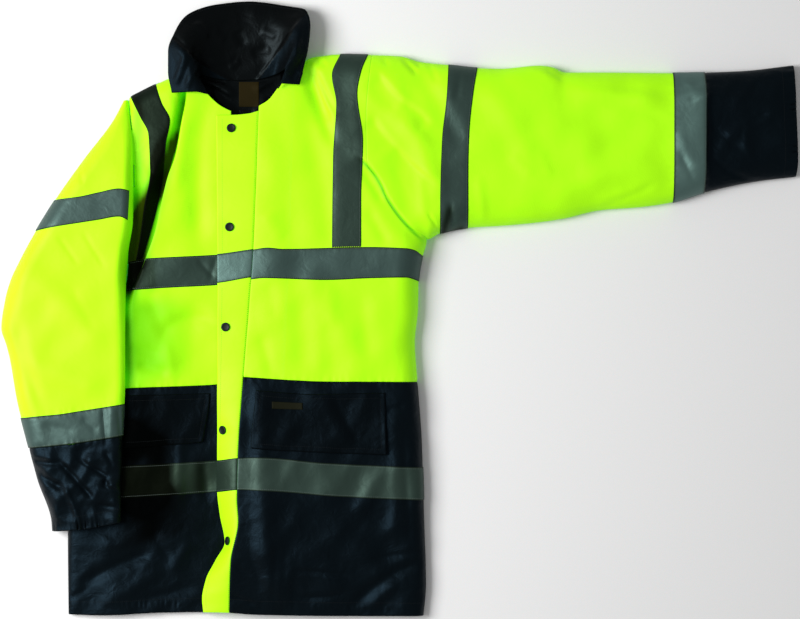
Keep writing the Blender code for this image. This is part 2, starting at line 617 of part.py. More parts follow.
def make_back():
    top = panel(back_face, (SIDE_RIGHT, BACK_BRACE_RIGHT_OUT, BACK_BRACE_RIGHT_IN, FLAP_SEAM,
                            BRACE_LEFT_IN, BRACE_LEFT_OUT, SIDE_LEFT),
                (BACK_TOP, ARMPIT, CHEST_TOP, CHEST_END, BACK_WAIST))
    skirt = panel(back_face, (SIDE_RIGHT, FLAP_SEAM, SIDE_LEFT),
                  (BACK_WAIST, HEM_TAPE_TOP, HEM_TAPE_END, HEM))
    cloth("back_yellow", top, BACK_TOP_LINES, ROUND + [2, 3, 4], -CLOTH, 0, YELLOW, seams=(0, 0, 0, 1))
    cloth("back_navy", skirt, BACK_SKIRT_LINES, [0, 1, 2, 3], -CLOTH, 0, NAVY, seams=(0, 0, 1, 0))
    cloth("back_chest_tape", top, BACK_TOP_LINES, [2, 3], *OVER, SILVER)
    cloth("back_hem_tape", skirt, BACK_SKIRT_LINES, [1, 2], *OVER, SILVER)
    cloth("back_brace_tape_right", top, [1, 2], ROUND + [2], *OVER, SILVER, seams=(0, 0, 0, 1))
    cloth("back_brace_tape_left", top, [4, 5], ROUND + [2], *OVER, SILVER, seams=(0, 0, 0, 1))


def make_left_front():
    top = panel(front_face, (FLAP_SEAM, BRACE_LEFT_IN, BRACE_LEFT_OUT, SIDE_LEFT),
                TOP_ACROSS[:4] + (LEFT_WAIST,))
    skirt = panel(front_face, (FLAP_SEAM, POCKET_LEFT_IN, LABEL_START, LABEL_END, POCKET_LEFT_OUT,
                               SIDE_LEFT), (LEFT_WAIST,) + SKIRT_ACROSS[1:])
    cloth("front_left_yellow", top, LEFT_TOP, UPPER, -CLOTH, 0, YELLOW, seams=(1, 0, 0, 1))
    cloth("front_left_navy", skirt, LEFT_SKIRT, SKIRT, -CLOTH, 0, NAVY, seams=(1, 0, 1, 0))
    cloth("front_left_brace_tape", top, [1, 1.5, 2], ROUND + [2], *OVER, SILVER, seams=(0, 0, 0, 1))
    cloth("front_left_chest_tape", top, LEFT_TOP, [2, 3], *OVER, SILVER, seams=(1, 0, 1, 0))
    cloth("front_left_hem_tape", skirt, LEFT_SKIRT, [5, 6], *OVER, SILVER, seams=(1, 0, 0, 0))
    pocket = [u for u in LEFT_SKIRT if 1 <= u <= 4]
    cloth("pocket_flap_left", skirt, pocket, [1, 2, 3, 3.5, 4], SEAM, SEAM + POCKET_CLOTH, NAVY)
    label_foot = 2 * SEAM + POCKET_CLOTH
    cloth("pocket_label", skirt, [2, 3], [2, 3], label_foot, label_foot + TAPE, BLACK)


def make_right_front():
    top = panel(right_front_face, (SIDE_RIGHT, BRACE_RIGHT_OUT, BRACE_RIGHT_IN, CREST, FLAP_FREE,
                                   FLAP_SEAM), TOP_ACROSS)
    skirt = panel(right_front_face, (SIDE_RIGHT, POCKET_RIGHT_OUT, POCKET_RIGHT_IN, FLAP_FREE,
                                     FLAP_SEAM), SKIRT_ACROSS)
    tape_lines = RIGHT_TOP[:-1] + [4 + TAPE_UNDER_FLAP]
    hem_lines = RIGHT_SKIRT[:-1] + [3 + TAPE_UNDER_FLAP]
    cloth("front_right_yellow", top, RIGHT_TOP, UPPER, -CLOTH, 0, YELLOW, seams=(0, 0, 0, 1))
    cloth("front_right_navy", skirt, RIGHT_SKIRT, SKIRT, -CLOTH, 0, NAVY, seams=(0, 0, 1, 0))
    cloth("front_right_brace_tape", top, [1, 1.5, 2], ROUND + [2], *OVER, SILVER, seams=(0, 0, 0, 1))
    cloth("front_right_chest_tape", top, tape_lines, [2, 3], *OVER, SILVER, seams=(0, 0, 1, 0))
    cloth("front_right_hem_tape", skirt, hem_lines, [5, 6], *OVER, SILVER)
    pocket = [u for u in RIGHT_SKIRT if 1 <= u <= 2]
    cloth("pocket_flap_right", skirt, pocket, [1, 2, 3, 3.5, 4], SEAM, SEAM + POCKET_CLOTH, NAVY)


def make_storm_flap():
    flap = panel(flap_face, (FLAP_FREE, FLAP_SEAM),
                 (FLAP_TOP, ARMPIT, CHEST_TOP, CHEST_END, WAIST, HEM_TAPE_TOP, HEM_TAPE_END, HEM))
    across = [0, 0.25, 0.5, 0.75, 1]
    along = [0, 0.33, 0.66, 1, 2, 3, 3.33, 3.66, 4, 4.33, 4.66, 5] + FOOT
    cloth("storm_flap", flap, across, along, -FLAP_CLOTH, 0, YELLOW, seams=(0, 1, 0, 0))
    cloth("flap_chest_tape", flap, across, [2, 3], *OVER, SILVER, seams=(0, 1, 0, 0))
    cloth("flap_hem_tape", flap, across, [5, 6], *OVER, SILVER, seams=(0, 1, 0, 0))
    for number, (y, share, seat) in enumerate(STUDS, 1):
        press_stud(f"press_stud_{number}", y, share, seat)


def make_left_sleeve():
    sleeve = ring((SIDE_LEFT, ARM_TAPE_IN, ARM_TAPE_OUT, ELBOW, CUFF_TAPE_IN, CUFF_TAPE_OUT, CUFF_END),
                  (FRONT_TOP, ARMPIT), lambda x, y: front_face(x, y, RING_EDGE),
                  lambda x, y: back_face(x, y, RING_EDGE))
    cloth("sleeve_left_yellow", sleeve, [0, 0.5, 1, 2, 2.5, 3, 3.5, 4, 5], AROUND, -CLOTH, 0, YELLOW,
          seams=(1, 1, 0, 0), closed=True)
    cloth("sleeve_left_navy", sleeve, [5, 5.25, 5.5, 5.75, 6], AROUND, -CLOTH, 0, NAVY,
          seams=(1, 0, 0, 0), closed=True)
    cloth("sleeve_left_arm_tape", sleeve, [1, 2], AROUND, *OVER, SILVER, closed=True)
    cloth("sleeve_left_cuff_tape", sleeve, [4, 5], AROUND, *OVER, SILVER, closed=True)


def make_right_sleeve():
    sleeve = ring((FOLD_EDGE_OUT, FOLD_EDGE_IN),
                  (FOLD_HEAD, FOLD_ARM_TOP, FOLD_ARM_END, FOLD_ELBOW, FOLD_CUFF_TOP, FOLD_CUFF_END,
                   FOLD_END),
                  lambda x, y: fold_face(x, y, 1), lambda x, y: fold_face(x, y, -1), turn=True)
    open_c = [v for v in AROUND if v > 1.1] + [v + 2 for v in ROUND if 0 < v < 0.9]
    cloth("sleeve_right_yellow", sleeve, FOLD_ROWS, AROUND, -CLOTH, 0, YELLOW,
          seams=(0, 1, 0, 0), closed=True)
    cloth("sleeve_right_navy", sleeve, [5, 5.33, 5.66, 6], AROUND, -CLOTH, 0, NAVY,
          seams=(1, 0, 0, 0), closed=True)
    cloth("sleeve_right_arm_tape", sleeve, [1, 2], open_c, *OVER, SILVER)
    cloth("sleeve_right_cuff_tape", sleeve, [4, 5], AROUND, *OVER, SILVER, closed=True)


def make_neck():
    ribs = np.linspace(0, len(COLLAR_RIBS) - 1, 19)
    cloth("collar", collar_face, ribs, [0, 0.3, 0.6, 0.85, 1, 1.15, 1.5, 2], -COLLAR_CLOTH, 0, NAVY)
    lining_top = curve([(x, y - SEAM) for x, y in BACK_TOP])
    floor = FLAT + CLOTH + SEAM
    flat_sheet("neck_lining", (*LINING_SIDES, LINING_FOOT, 0), floor, floor + LINING, BLACK, lining_top)
    on_lining = floor + LINING + SEAM
    flat_sheet("neck_label", NECK_LABEL, on_lining, on_lining + LINING, LABEL_BROWN)
    flat_sheet("size_tab", SIZE_TAB, on_lining, on_lining + LINING, BLACK)


def main():
    global jacket
    for old in list(bpy.data.objects):
        bpy.data.objects.remove(old, do_unlink=True)
    jacket = bpy.data.collections.new("hi_vis_work_jacket")
    bpy.context.scene.collection.children.link(jacket)
    make_back()
    make_left_front()
    make_right_front()
    make_storm_flap()
    make_left_sleeve()
    make_right_sleeve()
    make_neck()


main()
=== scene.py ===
# %% [markdown]
# # A hi-vis work jacket, laid flat
#
# This lesson builds the look of a padded high-visibility parka that lies on its
# back: fluorescent yellow cloth above, navy below, 50 mm silver tapes, a storm flap
# with press studs, and a navy collar opened out.  The wearer's left sleeve (+X) is
# stretched out, the right one is folded down beside the body.  The plain solids of
# the jacket are already packed with their sizes; every piece here is a thin sheet of
# cloth that follows the same cut lines, on a much finer grid, with its creases,
# seams and stitches.

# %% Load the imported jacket
import math

import bmesh
import bpy
import numpy as np
from mathutils import Matrix, Vector


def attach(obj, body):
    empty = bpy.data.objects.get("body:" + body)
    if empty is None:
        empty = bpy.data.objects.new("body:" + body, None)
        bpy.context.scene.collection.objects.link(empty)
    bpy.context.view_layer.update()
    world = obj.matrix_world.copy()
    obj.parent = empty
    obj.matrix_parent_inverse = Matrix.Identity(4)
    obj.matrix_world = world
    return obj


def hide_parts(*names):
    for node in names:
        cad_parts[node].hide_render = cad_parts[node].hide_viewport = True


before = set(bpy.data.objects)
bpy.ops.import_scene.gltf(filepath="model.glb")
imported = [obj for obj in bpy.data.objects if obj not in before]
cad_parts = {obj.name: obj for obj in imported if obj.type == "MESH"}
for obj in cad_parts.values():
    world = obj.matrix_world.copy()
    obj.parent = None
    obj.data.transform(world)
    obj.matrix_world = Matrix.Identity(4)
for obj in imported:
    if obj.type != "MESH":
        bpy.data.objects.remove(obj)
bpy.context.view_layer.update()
MM = 0.001
CENTRE = (-0.9, 1.5)    # the cut tables' own zero, moved to the middle of the outline

# %% [markdown]
# ## Colours and nodes
#
# Colours are written as sRGB hex values, the way a dye card gives them, and one
# function turns them into the linear numbers that shaders work with.  A second small
# function adds a node with its settings and its links, so that each material below
# reads as a short list.

# %% Two helpers for materials
def linear(hex_value):
    """Linear colour for an sRGB hex value such as "#c8f02a"."""
    parts = [int(hex_value[i:i + 2], 16) / 255 for i in (1, 3, 5)]
    return (*[p / 12.92 if p <= 0.04045 else ((p + 0.055) / 1.055) ** 2.4 for p in parts], 1.0)


def add(tree, kind, settings=None, inputs=None):
    """Add a node; inputs are values, or the output sockets that they are linked from.

    A Mix node's colours are its inputs 6 and 7 and its output 2.
    """
    made = tree.nodes.new(kind)
    for key, value in (settings or {}).items():
        setattr(made, key, value)
    for key, value in (inputs or {}).items():
        if isinstance(value, bpy.types.NodeSocket):
            tree.links.new(value, made.inputs[key])
        else:
            made.inputs[key].default_value = value
    return made


print("sRGB #808080 in linear numbers:", round(linear("#808080")[0], 3))

# %% [markdown]
# ## Coated polyester cloth
#
# The shell of a work parka is 300-denier polyester, woven plain and coated on the
# back.  The threads stand about 0.6 mm apart; they are drawn 1.2 mm apart here so
# that they show in a close view.  The coating keeps small crinkles after folding,
# which is what catches the light on the navy parts.  Fluorescent dye gives back more
# light than falls on it in green, so its shadows stay bright: a faint glow of the
# same dye on the Emission socket stands in for that, a painted glow that shines
# the same whatever light falls on the cloth.

# %% Woven cloth: colour, weave and crinkle
WEAVE = 1.2 * MM        # thread spacing, twice the real one so that it shows
CRINKLE = 22 * MM       # size of the small creases left by packing
BLOTCH = 70 * MM        # size of the slow change in the dye
PLASTIC_IOR = 1.5       # polyester, coating, paint and laminate alike


def new_material(name):
    made = bpy.data.materials.new(name)
    made.use_nodes = True
    made.node_tree.nodes.clear()
    return made, made.node_tree


def weave_height(tree, spacing):
    """Height of a plain weave on the cloth's own UV map, which is in metres."""
    uv = add(tree, "ShaderNodeUVMap", {"uv_map": "cloth"})
    mapped = add(tree, "ShaderNodeMapping", inputs={"Vector": uv.outputs["UV"],
                                                    "Scale": (1 / spacing, 1 / spacing, 1)})
    parts = add(tree, "ShaderNodeSeparateXYZ", inputs={0: mapped.outputs["Vector"]})
    waves = []
    for axis in ("X", "Y"):
        turn = add(tree, "ShaderNodeMath", {"operation": "MULTIPLY"}, {0: parts.outputs[axis], 1: math.pi})
        waves.append(add(tree, "ShaderNodeMath", {"operation": "SINE"}, {0: turn.outputs[0]}).outputs[0])
    return add(tree, "ShaderNodeMath", {"operation": "MULTIPLY"}, {0: waves[0], 1: waves[1]}).outputs[0]


def cloth_material(name, light, dark, shaded, rough, crinkle, weave, glow=None, glow_strength=0.0, gloss=0.2,
                   metal=0.0, sheen_tint="#ffffff", fading=False):
    """Woven cloth with two dye tones, crinkles of that height in metres and a weave.

    The attribute "shade" (0 to 1) paints shade into the colour: it leads to the two
    darker colours of painted shade, half way down a fold and deep in it.  A fading cloth
    has its sheen and its glow painted out there too.
    """
    made, tree = new_material(name)
    place = add(tree, "ShaderNodeTexCoord").outputs["Object"]
    shade = add(tree, "ShaderNodeAttribute", {"attribute_name": "shade"}).outputs["Fac"]
    slow = add(tree, "ShaderNodeTexNoise", inputs={"Vector": place, "Scale": 1 / BLOTCH, "Detail": 3.0})
    tone = add(tree, "ShaderNodeMix", {"data_type": "RGBA"},
               {0: slow.outputs["Fac"], 6: linear(dark), 7: linear(light)})
    half = add(tree, "ShaderNodeMapRange", inputs={"Value": shade, "From Max": 0.5}).outputs[0]
    deep = add(tree, "ShaderNodeMapRange", inputs={"Value": shade, "From Min": 0.5}).outputs[0]
    for step, colour in zip((half, deep), shaded):
        tone = add(tree, "ShaderNodeMix", {"data_type": "RGBA"},
                   {0: step, 6: tone.outputs[2], 7: linear(colour)})
    folds = add(tree, "ShaderNodeTexNoise", inputs={"Vector": place, "Scale": 1 / CRINKLE, "Detail": 3.0,
                                                    "Roughness": 0.5, "Distortion": 0.5})
    bump = add(tree, "ShaderNodeBump", inputs={"Height": folds.outputs["Fac"], "Distance": crinkle,
                                               "Strength": 1.0})
    threads = add(tree, "ShaderNodeBump", inputs={"Height": weave_height(tree, WEAVE), "Distance": weave,
                                                  "Strength": 1.0, "Normal": bump.outputs["Normal"]})
    shader = add(tree, "ShaderNodeBsdfPrincipled", inputs={
        "Base Color": tone.outputs[2], "Roughness": rough, "IOR": PLASTIC_IOR, "Metallic": metal,
        "Specular IOR Level": gloss, "Specular Tint": linear(sheen_tint),
        "Normal": threads.outputs["Normal"]})
    if glow:
        shader.inputs["Emission Color"].default_value = linear(glow)
        shader.inputs["Emission Strength"].default_value = glow_strength
    for socket, step, fades in (("Specular Tint", shade, fading), ("Emission Color", deep, fading and glow)):
        if fades:
            lost = add(tree, "ShaderNodeMix", {"data_type": "RGBA"},
                       {0: step, 6: shader.inputs[socket].default_value[:], 7: (0, 0, 0, 1)})
            tree.links.new(lost.outputs[2], shader.inputs[socket])
    add(tree, "ShaderNodeOutputMaterial", inputs={"Surface": shader.outputs[0]})
    return made


# the third value of each cloth is its two colours of painted shade, half way down a fold and deep in it
YELLOW = ("#bdf80c", "#b5f307", ("#6cb400", "#2c3c04"), 0.55, 0.5 * MM, 0.05 * MM, "#28ff00", 0.2)
# the last two values of YELLOW are a painted glow on the Emission socket, the same everywhere
yellow_cloth = cloth_material("fluorescent_yellow_polyester", *YELLOW)
# a copy with painted shade: where "shade" is high its colour goes dark and its sheen and glow are painted out
yellow_painted_shade = cloth_material("fluorescent_yellow_polyester_painted_shade", *YELLOW, fading=True)
NAVY = ("#05080a", "#040607", ("#040505", "#020303"), 0.44, 2.0 * MM, 0.06 * MM)
NAVY_SHEEN = {"gloss": 0.14, "sheen_tint": "#98d0f6"}
navy_cloth = cloth_material("navy_coated_polyester", *NAVY, **NAVY_SHEEN)
# a copy with painted shade: its colour and sheen go dark where "shade" is high
navy_painted_shade = cloth_material("navy_coated_polyester_painted_shade", *NAVY, **NAVY_SHEEN, fading=True)
lining_cloth = cloth_material("black_satin_lining", "#050708", "#030404", ("#030303", "#010101"), 0.35,
                              1.4 * MM, 0.03 * MM, gloss=0.1, sheen_tint="#c8e0e8")
print("cloth materials:", yellow_cloth.name, navy_cloth.name, lining_cloth.name)

# %% [markdown]
# ## Reflective tape
#
# The tape is a grey cotton-polyester ribbon with a layer of glass beads 0.05 mm
# across.  By plain light it is a flat greenish grey with a soft, wide highlight, a
# little metallic, and it keeps crisp creases because the bead layer is stiff.  The
# beads are far too fine to see, so a fine grain stands for them.

# %% Tape, label, thread and stud
GLASS_BEADS = ("#465c57", "#3b4f4b", ("#2b3b30", "#0c100a"), 0.47, 1.0 * MM, 0.03 * MM)
BEAD_SHINE = {"gloss": 0.25, "metal": 0.6}
tape_cloth = cloth_material("glass_bead_tape", *GLASS_BEADS, **BEAD_SHINE)
# a copy with painted shade: its colour and sheen go dark where "shade" is high
tape_painted_shade = cloth_material("glass_bead_tape_painted_shade", *GLASS_BEADS, **BEAD_SHINE, fading=True)
# --- a lighter copy with painted light, on the stretched cuff and the flap
tape_painted_light = cloth_material("glass_bead_tape_painted_light", "#5d7872", "#4e6863", *GLASS_BEADS[2:], **BEAD_SHINE)
LABEL_GRAIN = (0.1 * MM, 0.12 * MM)         # height of a label's crinkles and of its weave
label_cloth = cloth_material("brown_woven_label", "#251e08", "#1d1806", ("#151208", "#0c0a05"), 0.7,
                             *LABEL_GRAIN, gloss=0.05)
patch_cloth = cloth_material("olive_woven_label", "#1c1d10", "#15160c", ("#10100a", "#080806"), 0.65,
                             *LABEL_GRAIN, gloss=0.05)
GRAIN = 0.8 * MM        # size of the grain of thread, paint and laminate


def plain_material(name, colour, rough, grain=0.0, gloss=0.5):
    """A moulded, painted or spun finish with a fine grain of that height in metres."""
    made, tree = new_material(name)
    place = add(tree, "ShaderNodeTexCoord").outputs["Object"]
    speckle = add(tree, "ShaderNodeTexNoise", inputs={"Vector": place, "Scale": 1 / GRAIN, "Detail": 2.0})
    tone = add(tree, "ShaderNodeMix", {"data_type": "RGBA", "blend_type": "MULTIPLY"},
               {0: 0.25, 6: linear(colour), 7: speckle.outputs["Color"]})
    bump = add(tree, "ShaderNodeBump", inputs={"Height": speckle.outputs["Fac"], "Distance": grain})
    shader = add(tree, "ShaderNodeBsdfPrincipled", inputs={
        "Base Color": tone.outputs[2], "Roughness": rough, "IOR": PLASTIC_IOR, "Specular IOR Level": gloss,
        "Normal": bump.outputs["Normal"]})
    add(tree, "ShaderNodeOutputMaterial", inputs={"Surface": shader.outputs[0]})
    return made


yellow_thread = plain_material("yellow_polyester_thread", "#a9d81c", 0.6)
navy_thread = plain_material("navy_polyester_thread", "#0d1317", 0.6, gloss=0.2)
grey_thread = plain_material("grey_polyester_thread", "#5f6c67", 0.6)
stud_paint = plain_material("painted_brass_stud", "#0c1813", 0.45, 0.02 * MM, gloss=0.2)
print("tapes, labels and fittings:", len(bpy.data.materials), "materials so far")

# %% [markdown]
# ## The cut lines
#
# A garment's shape lives in its cut.  The tables give named lines down the body
# (y, then x) and across it (x, then y), in millimetres: seams, edges of tapes, the
# creases where a front folds.  A panel is the cloth between four such lines.

# %% Thicknesses, spaces and heights of the edges, in millimetres
CLOTH, TAPE = 2.0, 1.0              # shell, wadding and lining; tape with its stitching
POCKET_CLOTH, COLLAR_CLOTH, LINING = 2.4, 2.2, 1.0
SEAM = 0.3                          # space between neighbouring pieces
FLAT = SEAM + TAPE                  # underside of the back, so that its tapes lie on the table
BACK_EDGE, FRONT_EDGE, RING_EDGE = 6.3, 6.6, 6.45    # heights where back, front and sleeves meet
print("a panel with its tape:", CLOTH + SEAM + TAPE, "mm")

# %% Lines down and across the body
# ------------------------------------------- lines down the body: (y, x) pairs
SIDE_RIGHT = ((340, -436), (297, -431), (262, -427), (188, -426), (140, -427), (95, -434), (47, -438),
              (12, -453), (-49, -480), (-126, -506), (-193, -522), (-273, -531), (-356, -534), (-492, -533))
BRACE_RIGHT_OUT = ((342, -433), (308, -416), (281, -403), (220, -400), (164, -410), (95, -421),
                   (39, -434), (12, -443), (-49, -464), (-126, -483), (-492, -490))
BRACE_RIGHT_IN = ((362, -392), (330, -381), (303, -368), (268, -374), (210, -381), (164, -390),
                  (94, -410), (39, -429), (12, -437), (-49, -448), (-126, -458), (-492, -455))
CREST = ((383, -342), (346, -341), (297, -349), (247, -358), (210, -371), (164, -382), (127, -390),
         (63, -413), (15, -426), (-49, -422), (-126, -413), (-492, -400))
FLAP_FREE = ((314, -294), (38, -292), (-121, -293), (-289, -294), (-329, -290), (-374, -282),
             (-401, -296), (-433, -312), (-465, -318), (-492, -315))
FLAP_SEAM = ((324, -226), (111, -234), (-28, -244), (-113, -251), (-241, -259), (-305, -260),
             (-337, -258), (-401, -270), (-492, -274))
BRACE_LEFT_IN = ((409, -96), (375, -109), (329, -102), (242, -107), (15, -109), (-492, -109))
BRACE_LEFT_OUT = ((409, -51), (380, -62), (345, -68), (268, -59), (175, -62), (15, -62), (-492, -62))
SIDE_LEFT = ((409, -45), (367, -50), (319, -54), (234, -53), (204, -32), (178, -22), (158, -10),
             (134, 10), (112, 43), (76, 34), (47, 30), (-1, 29), (-52, 24), (-113, 28), (-209, 35),
             (-337, 39), (-441, 42), (-492, 38))
POCKET_RIGHT_OUT = ((-122, -448), (-137, -451), (-225, -459), (-337, -451), (-492, -448))
POCKET_RIGHT_IN = ((-122, -304), (-135, -304), (-214, -317), (-305, -324), (-401, -340), (-492, -355))
POCKET_LEFT_IN = ((-108, -227), (-129, -229), (-222, -237), (-305, -234), (-492, -227))
LABEL_START = ((-114, -205), (-231, -205), (-492, -192))
LABEL_END = ((-114, -155), (-231, -155), (-492, -141))
POCKET_LEFT_OUT = ((-114, -26), (-132, -24), (-230, -21), (-337, -16), (-492, -13))
BACK_BRACE_RIGHT_OUT = ((342, -433), (31, -400), (-492, -400))
BACK_BRACE_RIGHT_IN = ((364, -387), (31, -354), (-492, -354))

# ------------------------------------------ lines across the body: (x, y) pairs
FRONT_TOP = ((-436, 340), (-392, 362), (-365, 374), (-336, 385), (-325, 375), (-314, 354), (-301, 338),
             (-285, 325), (-264, 316), (-251, 314), (-240, 318), (-226, 326), (-211, 335), (-198, 351),
             (-184, 372), (-168, 390), (-144, 404), (-128, 407), (-96, 410), (-45, 409), (0, 407),
             (32, 398), (78, 393), (126, 388), (160, 387), (224, 392), (243, 390), (266, 381),
             (320, 381), (437, 380), (544, 383), (637, 393))
BACK_TOP = ((-436, 340), (-392, 362), (-365, 374), (-336, 385), (-320, 380), (-296, 374), (-256, 371),
            (-216, 375), (-189, 386), (-168, 390), (-144, 404), (-128, 407), (-96, 410), (-45, 409),
            (0, 407))
FLAP_TOP = ((-432, 308), (-294, 311), (-264, 311.5), (-240, 314), (-226, 318), (0, 340))
ARMPIT = ((-434, 95), (-346, 103), (-235, 114), (-109, 116), (10, 116), (43, 112), (64, 122), (109, 131),
          (160, 134), (224, 140), (264, 146), (320, 159), (384, 164), (437, 172), (490, 188),
          (576, 206), (637, 213))
CHEST_TOP = ((-438, 76), (-403, 82), (-346, 85), (-293, 88), (-235, 96), (-211, 99), (-187, 97),
             (-51, 100), (10, 98), (24, 95), (34, 88))
CHEST_END = ((-445, 28), (-426, 31), (-368, 35), (-293, 39), (-238, 48), (-218, 50), (-120, 47),
             (-46, 50), (10, 51), (19, 49), (30, 45))
WAIST = ((-506, -129), (-440, -126), (-384, -124), (-320, -122), (-293, -120), (-245, -108), (-187, -112),
         (-122, -116), (-58, -115), (27, -116))
LEFT_WAIST = ((-262, -107), (-122, -115), (27, -116))
BACK_WAIST = ((-506, -129), (27, -116))
POCKET_TOP = ((-512, -140), (-459, -138), (-304, -134), (-251, -126), (-229, -129), (-134, -135),
              (-24, -133), (30, -132))
LABEL_TOP = ((-515, -153), (-304, -148), (-251, -143), (-205, -147), (-155, -149), (32, -150))
LABEL_FOOT = ((-518, -166), (-304, -161), (-251, -154), (-205, -158), (-155, -160), (32, -162))
POCKET_END = ((-525, -225), (-459, -222), (-390, -218), (-317, -213), (-293, -210), (-237, -222),
              (-134, -228), (-21, -232), (35, -233))
HEM_TAPE_TOP = ((-533, -254), (-442, -250), (-360, -246), (-294, -242), (-258, -237), (-224, -236),
                (-122, -245), (37, -253))
HEM_TAPE_END = ((-534, -305), (-442, -302), (-352, -297), (-294, -293), (-258, -288), (-208, -290),
                (-101, -299), (38, -306))
HEM = ((-533, -490), (-480, -491), (-384, -487), (-293, -486), (-224, -490), (-64, -492), (38, -492))
print("hem tape at the side:", HEM_TAPE_TOP[0][1] - HEM_TAPE_END[0][1], "mm wide")

# %% Lines of the two sleeves
# -------------- lines across the stretched sleeve: (y, x), and its own heights
ARM_TAPE_IN = ((399, 78), (335, 74), (271, 67), (167, 64), (118, 64))
ARM_TAPE_OUT = ((396, 126), (351, 118), (287, 111), (223, 109), (124, 109))
ELBOW = ((385, 290), (150, 290))
CUFF_TAPE_IN = ((399, 438), (159, 438))
CUFF_TAPE_OUT = ((399, 490), (159, 489))
CUFF_END = ((399, 632), (351, 634), (271, 637), (236, 638), (199, 635))
SLEEVE_HEIGHT = ((60, 44), (150, 43), (300, 41), (450, 38), (500, 35), (580, 33), (637, 27))

# ---- the folded sleeve: edges (y, x), lines across (x, y), heights along (y, z)
FOLD_EDGE_OUT = ((340, -442), (303, -461), (239, -509), (175, -554), (111, -593), (79, -610), (47, -625),
                 (15, -634), (-30, -640), (-57, -632), (-81, -626), (-145, -615), (-209, -599),
                 (-273, -582), (-337, -560), (-358, -558))
FOLD_EDGE_IN = ((340, -437.2), (297, -432.2), (262, -428.2), (188, -427.2), (140, -428.2),
                (95, -435.2), (47, -439), (-113, -439), (-202, -443), (-297, -446), (-358, -446))
FOLD_HEAD = ((-448, 336), (-432, 337))
FOLD_ARM_TOP = ((-554, 175), (-512, 180), (-480, 187), (-448, 193), (-426, 188))
FOLD_ARM_END = ((-581, 126), (-544, 133), (-512, 138), (-480, 143), (-448, 148), (-427, 138))
FOLD_ELBOW = ((-626, 30), (-440, 40))
FOLD_CUFF_TOP = ((-611, -174), (-576, -170), (-544, -167), (-512, -162), (-442, -151))
FOLD_CUFF_END = ((-595, -222), (-544, -217), (-512, -213), (-443, -202))
FOLD_END = ((-560, -356), (-536, -354), (-504, -351), (-446, -340))
FOLD_HEIGHT = ((331, 15), (300, 27), (250, 40), (190, 48), (95, 50), (-100, 50), (-200, 48), (-280, 46),
               (-352, 40))
FOLD_INNER_EDGE = ((331, RING_EDGE), (95, RING_EDGE), (50, 17), (20, 27), (-40, 36), (-352, 33))
FOLD_OUTER_EDGE = ((331, RING_EDGE), (270, 12), (-352, 12))
print("the stretched cuff ends", CUFF_END[0][1], "mm from the zero line")

# %% [markdown]
# ## How high the cloth stands
#
# A padded jacket that lies on a table is a flat, soft pillow: 30 to 50 mm high where
# a sleeve or a front is filled with air, low in the long valley where the right
# front dips beside the folded sleeve.  Heights are stated at nine of the lines down
# the body, and smooth curves run between them.

# %% The fold beside the right sleeve
FOLD_RIDGE = ((383, -352), (343, -357), (295, -366), (258, -378), (212, -397), (186, -406), (148, -418),
              (95, -421), (39, -434), (12, -443), (-49, -464), (-126, -483), (-492, -490))
FOLD_FOOT = ((383, -345), (346, -344.5), (297, -352.5), (247, -361.5), (210, -374.5), (164, -385.5),
             (127, -393.5), (63, -416), (39, -427), (12, -437), (-49, -448), (-126, -458), (-492, -455))

# %% Widths of the rounded edges and heights
# --- widths of the rounded edges of the front, along x: at the foot and at the top
ROLL_WIDTH = ((-60, 38), (43, 40), (120, 55), (300, 60), (480, 52), (640, 46))
SHOULDER_WIDTH = ((-440, 24), (-340, 30), (-100, 40), (120, 55), (300, 60), (480, 52), (640, 46))
# --- the closed edge over the shoulders leaves the open neck out
SHOULDER_RIGHT = ((-436, 340), (-392, 362), (-365, 374), (-346, 381), (-330, 440), (-300, 520))
NECK_LEFT = ((-215, 520), (-186, 440), (-170, 389))

# ------- height of the body's upper face: y, then z at each of the nine lines
HEIGHT_LINES = (SIDE_RIGHT, FOLD_RIDGE, FOLD_FOOT, CREST, FLAP_FREE, FLAP_SEAM,
                BRACE_LEFT_IN, BRACE_LEFT_OUT, SIDE_LEFT)
HEIGHTS = (
    # y    side ridge foot crest free seam  in  out side
    (400,  20, 26, 14, 30, 28, 30, 32, 35, 35),
    (330,  20, 29, 11, 35, 30, 32, 35, 39, 39),
    (250,  20, 30,  9, 39, 33, 37, 38, 42, 42),
    (190,  20, 29,  8, 40, 33, 38, 39, 41, 44),
    (100,  14, 14,  8, 39, 32, 38, 40, 41, 43),
    (50,   14, 14, 14, 36, 31, 38, 40, 40, 40),
    (0,    18, 22, 26, 33, 30, 38, 39, 39, 38),
    (-60,  20, 24, 26, 31, 27, 37, 38, 38, 36),
    (-120, 20, 24, 26, 30, 22, 38, 38, 37, 35),
    (-200, 20, 24, 25, 27, 15, 42, 38, 35, 33),
    (-300, 19, 23, 24, 24, 10, 47, 38, 32, 29),
    (-375, 17, 21, 22, 20,  8, 48, 36, 30, 26),
    (-430, 15, 19, 20, 17,  9, 38, 31, 26, 22),
    (-492, 12, 16, 16, 15, 11, 22, 22, 20, 17),
)

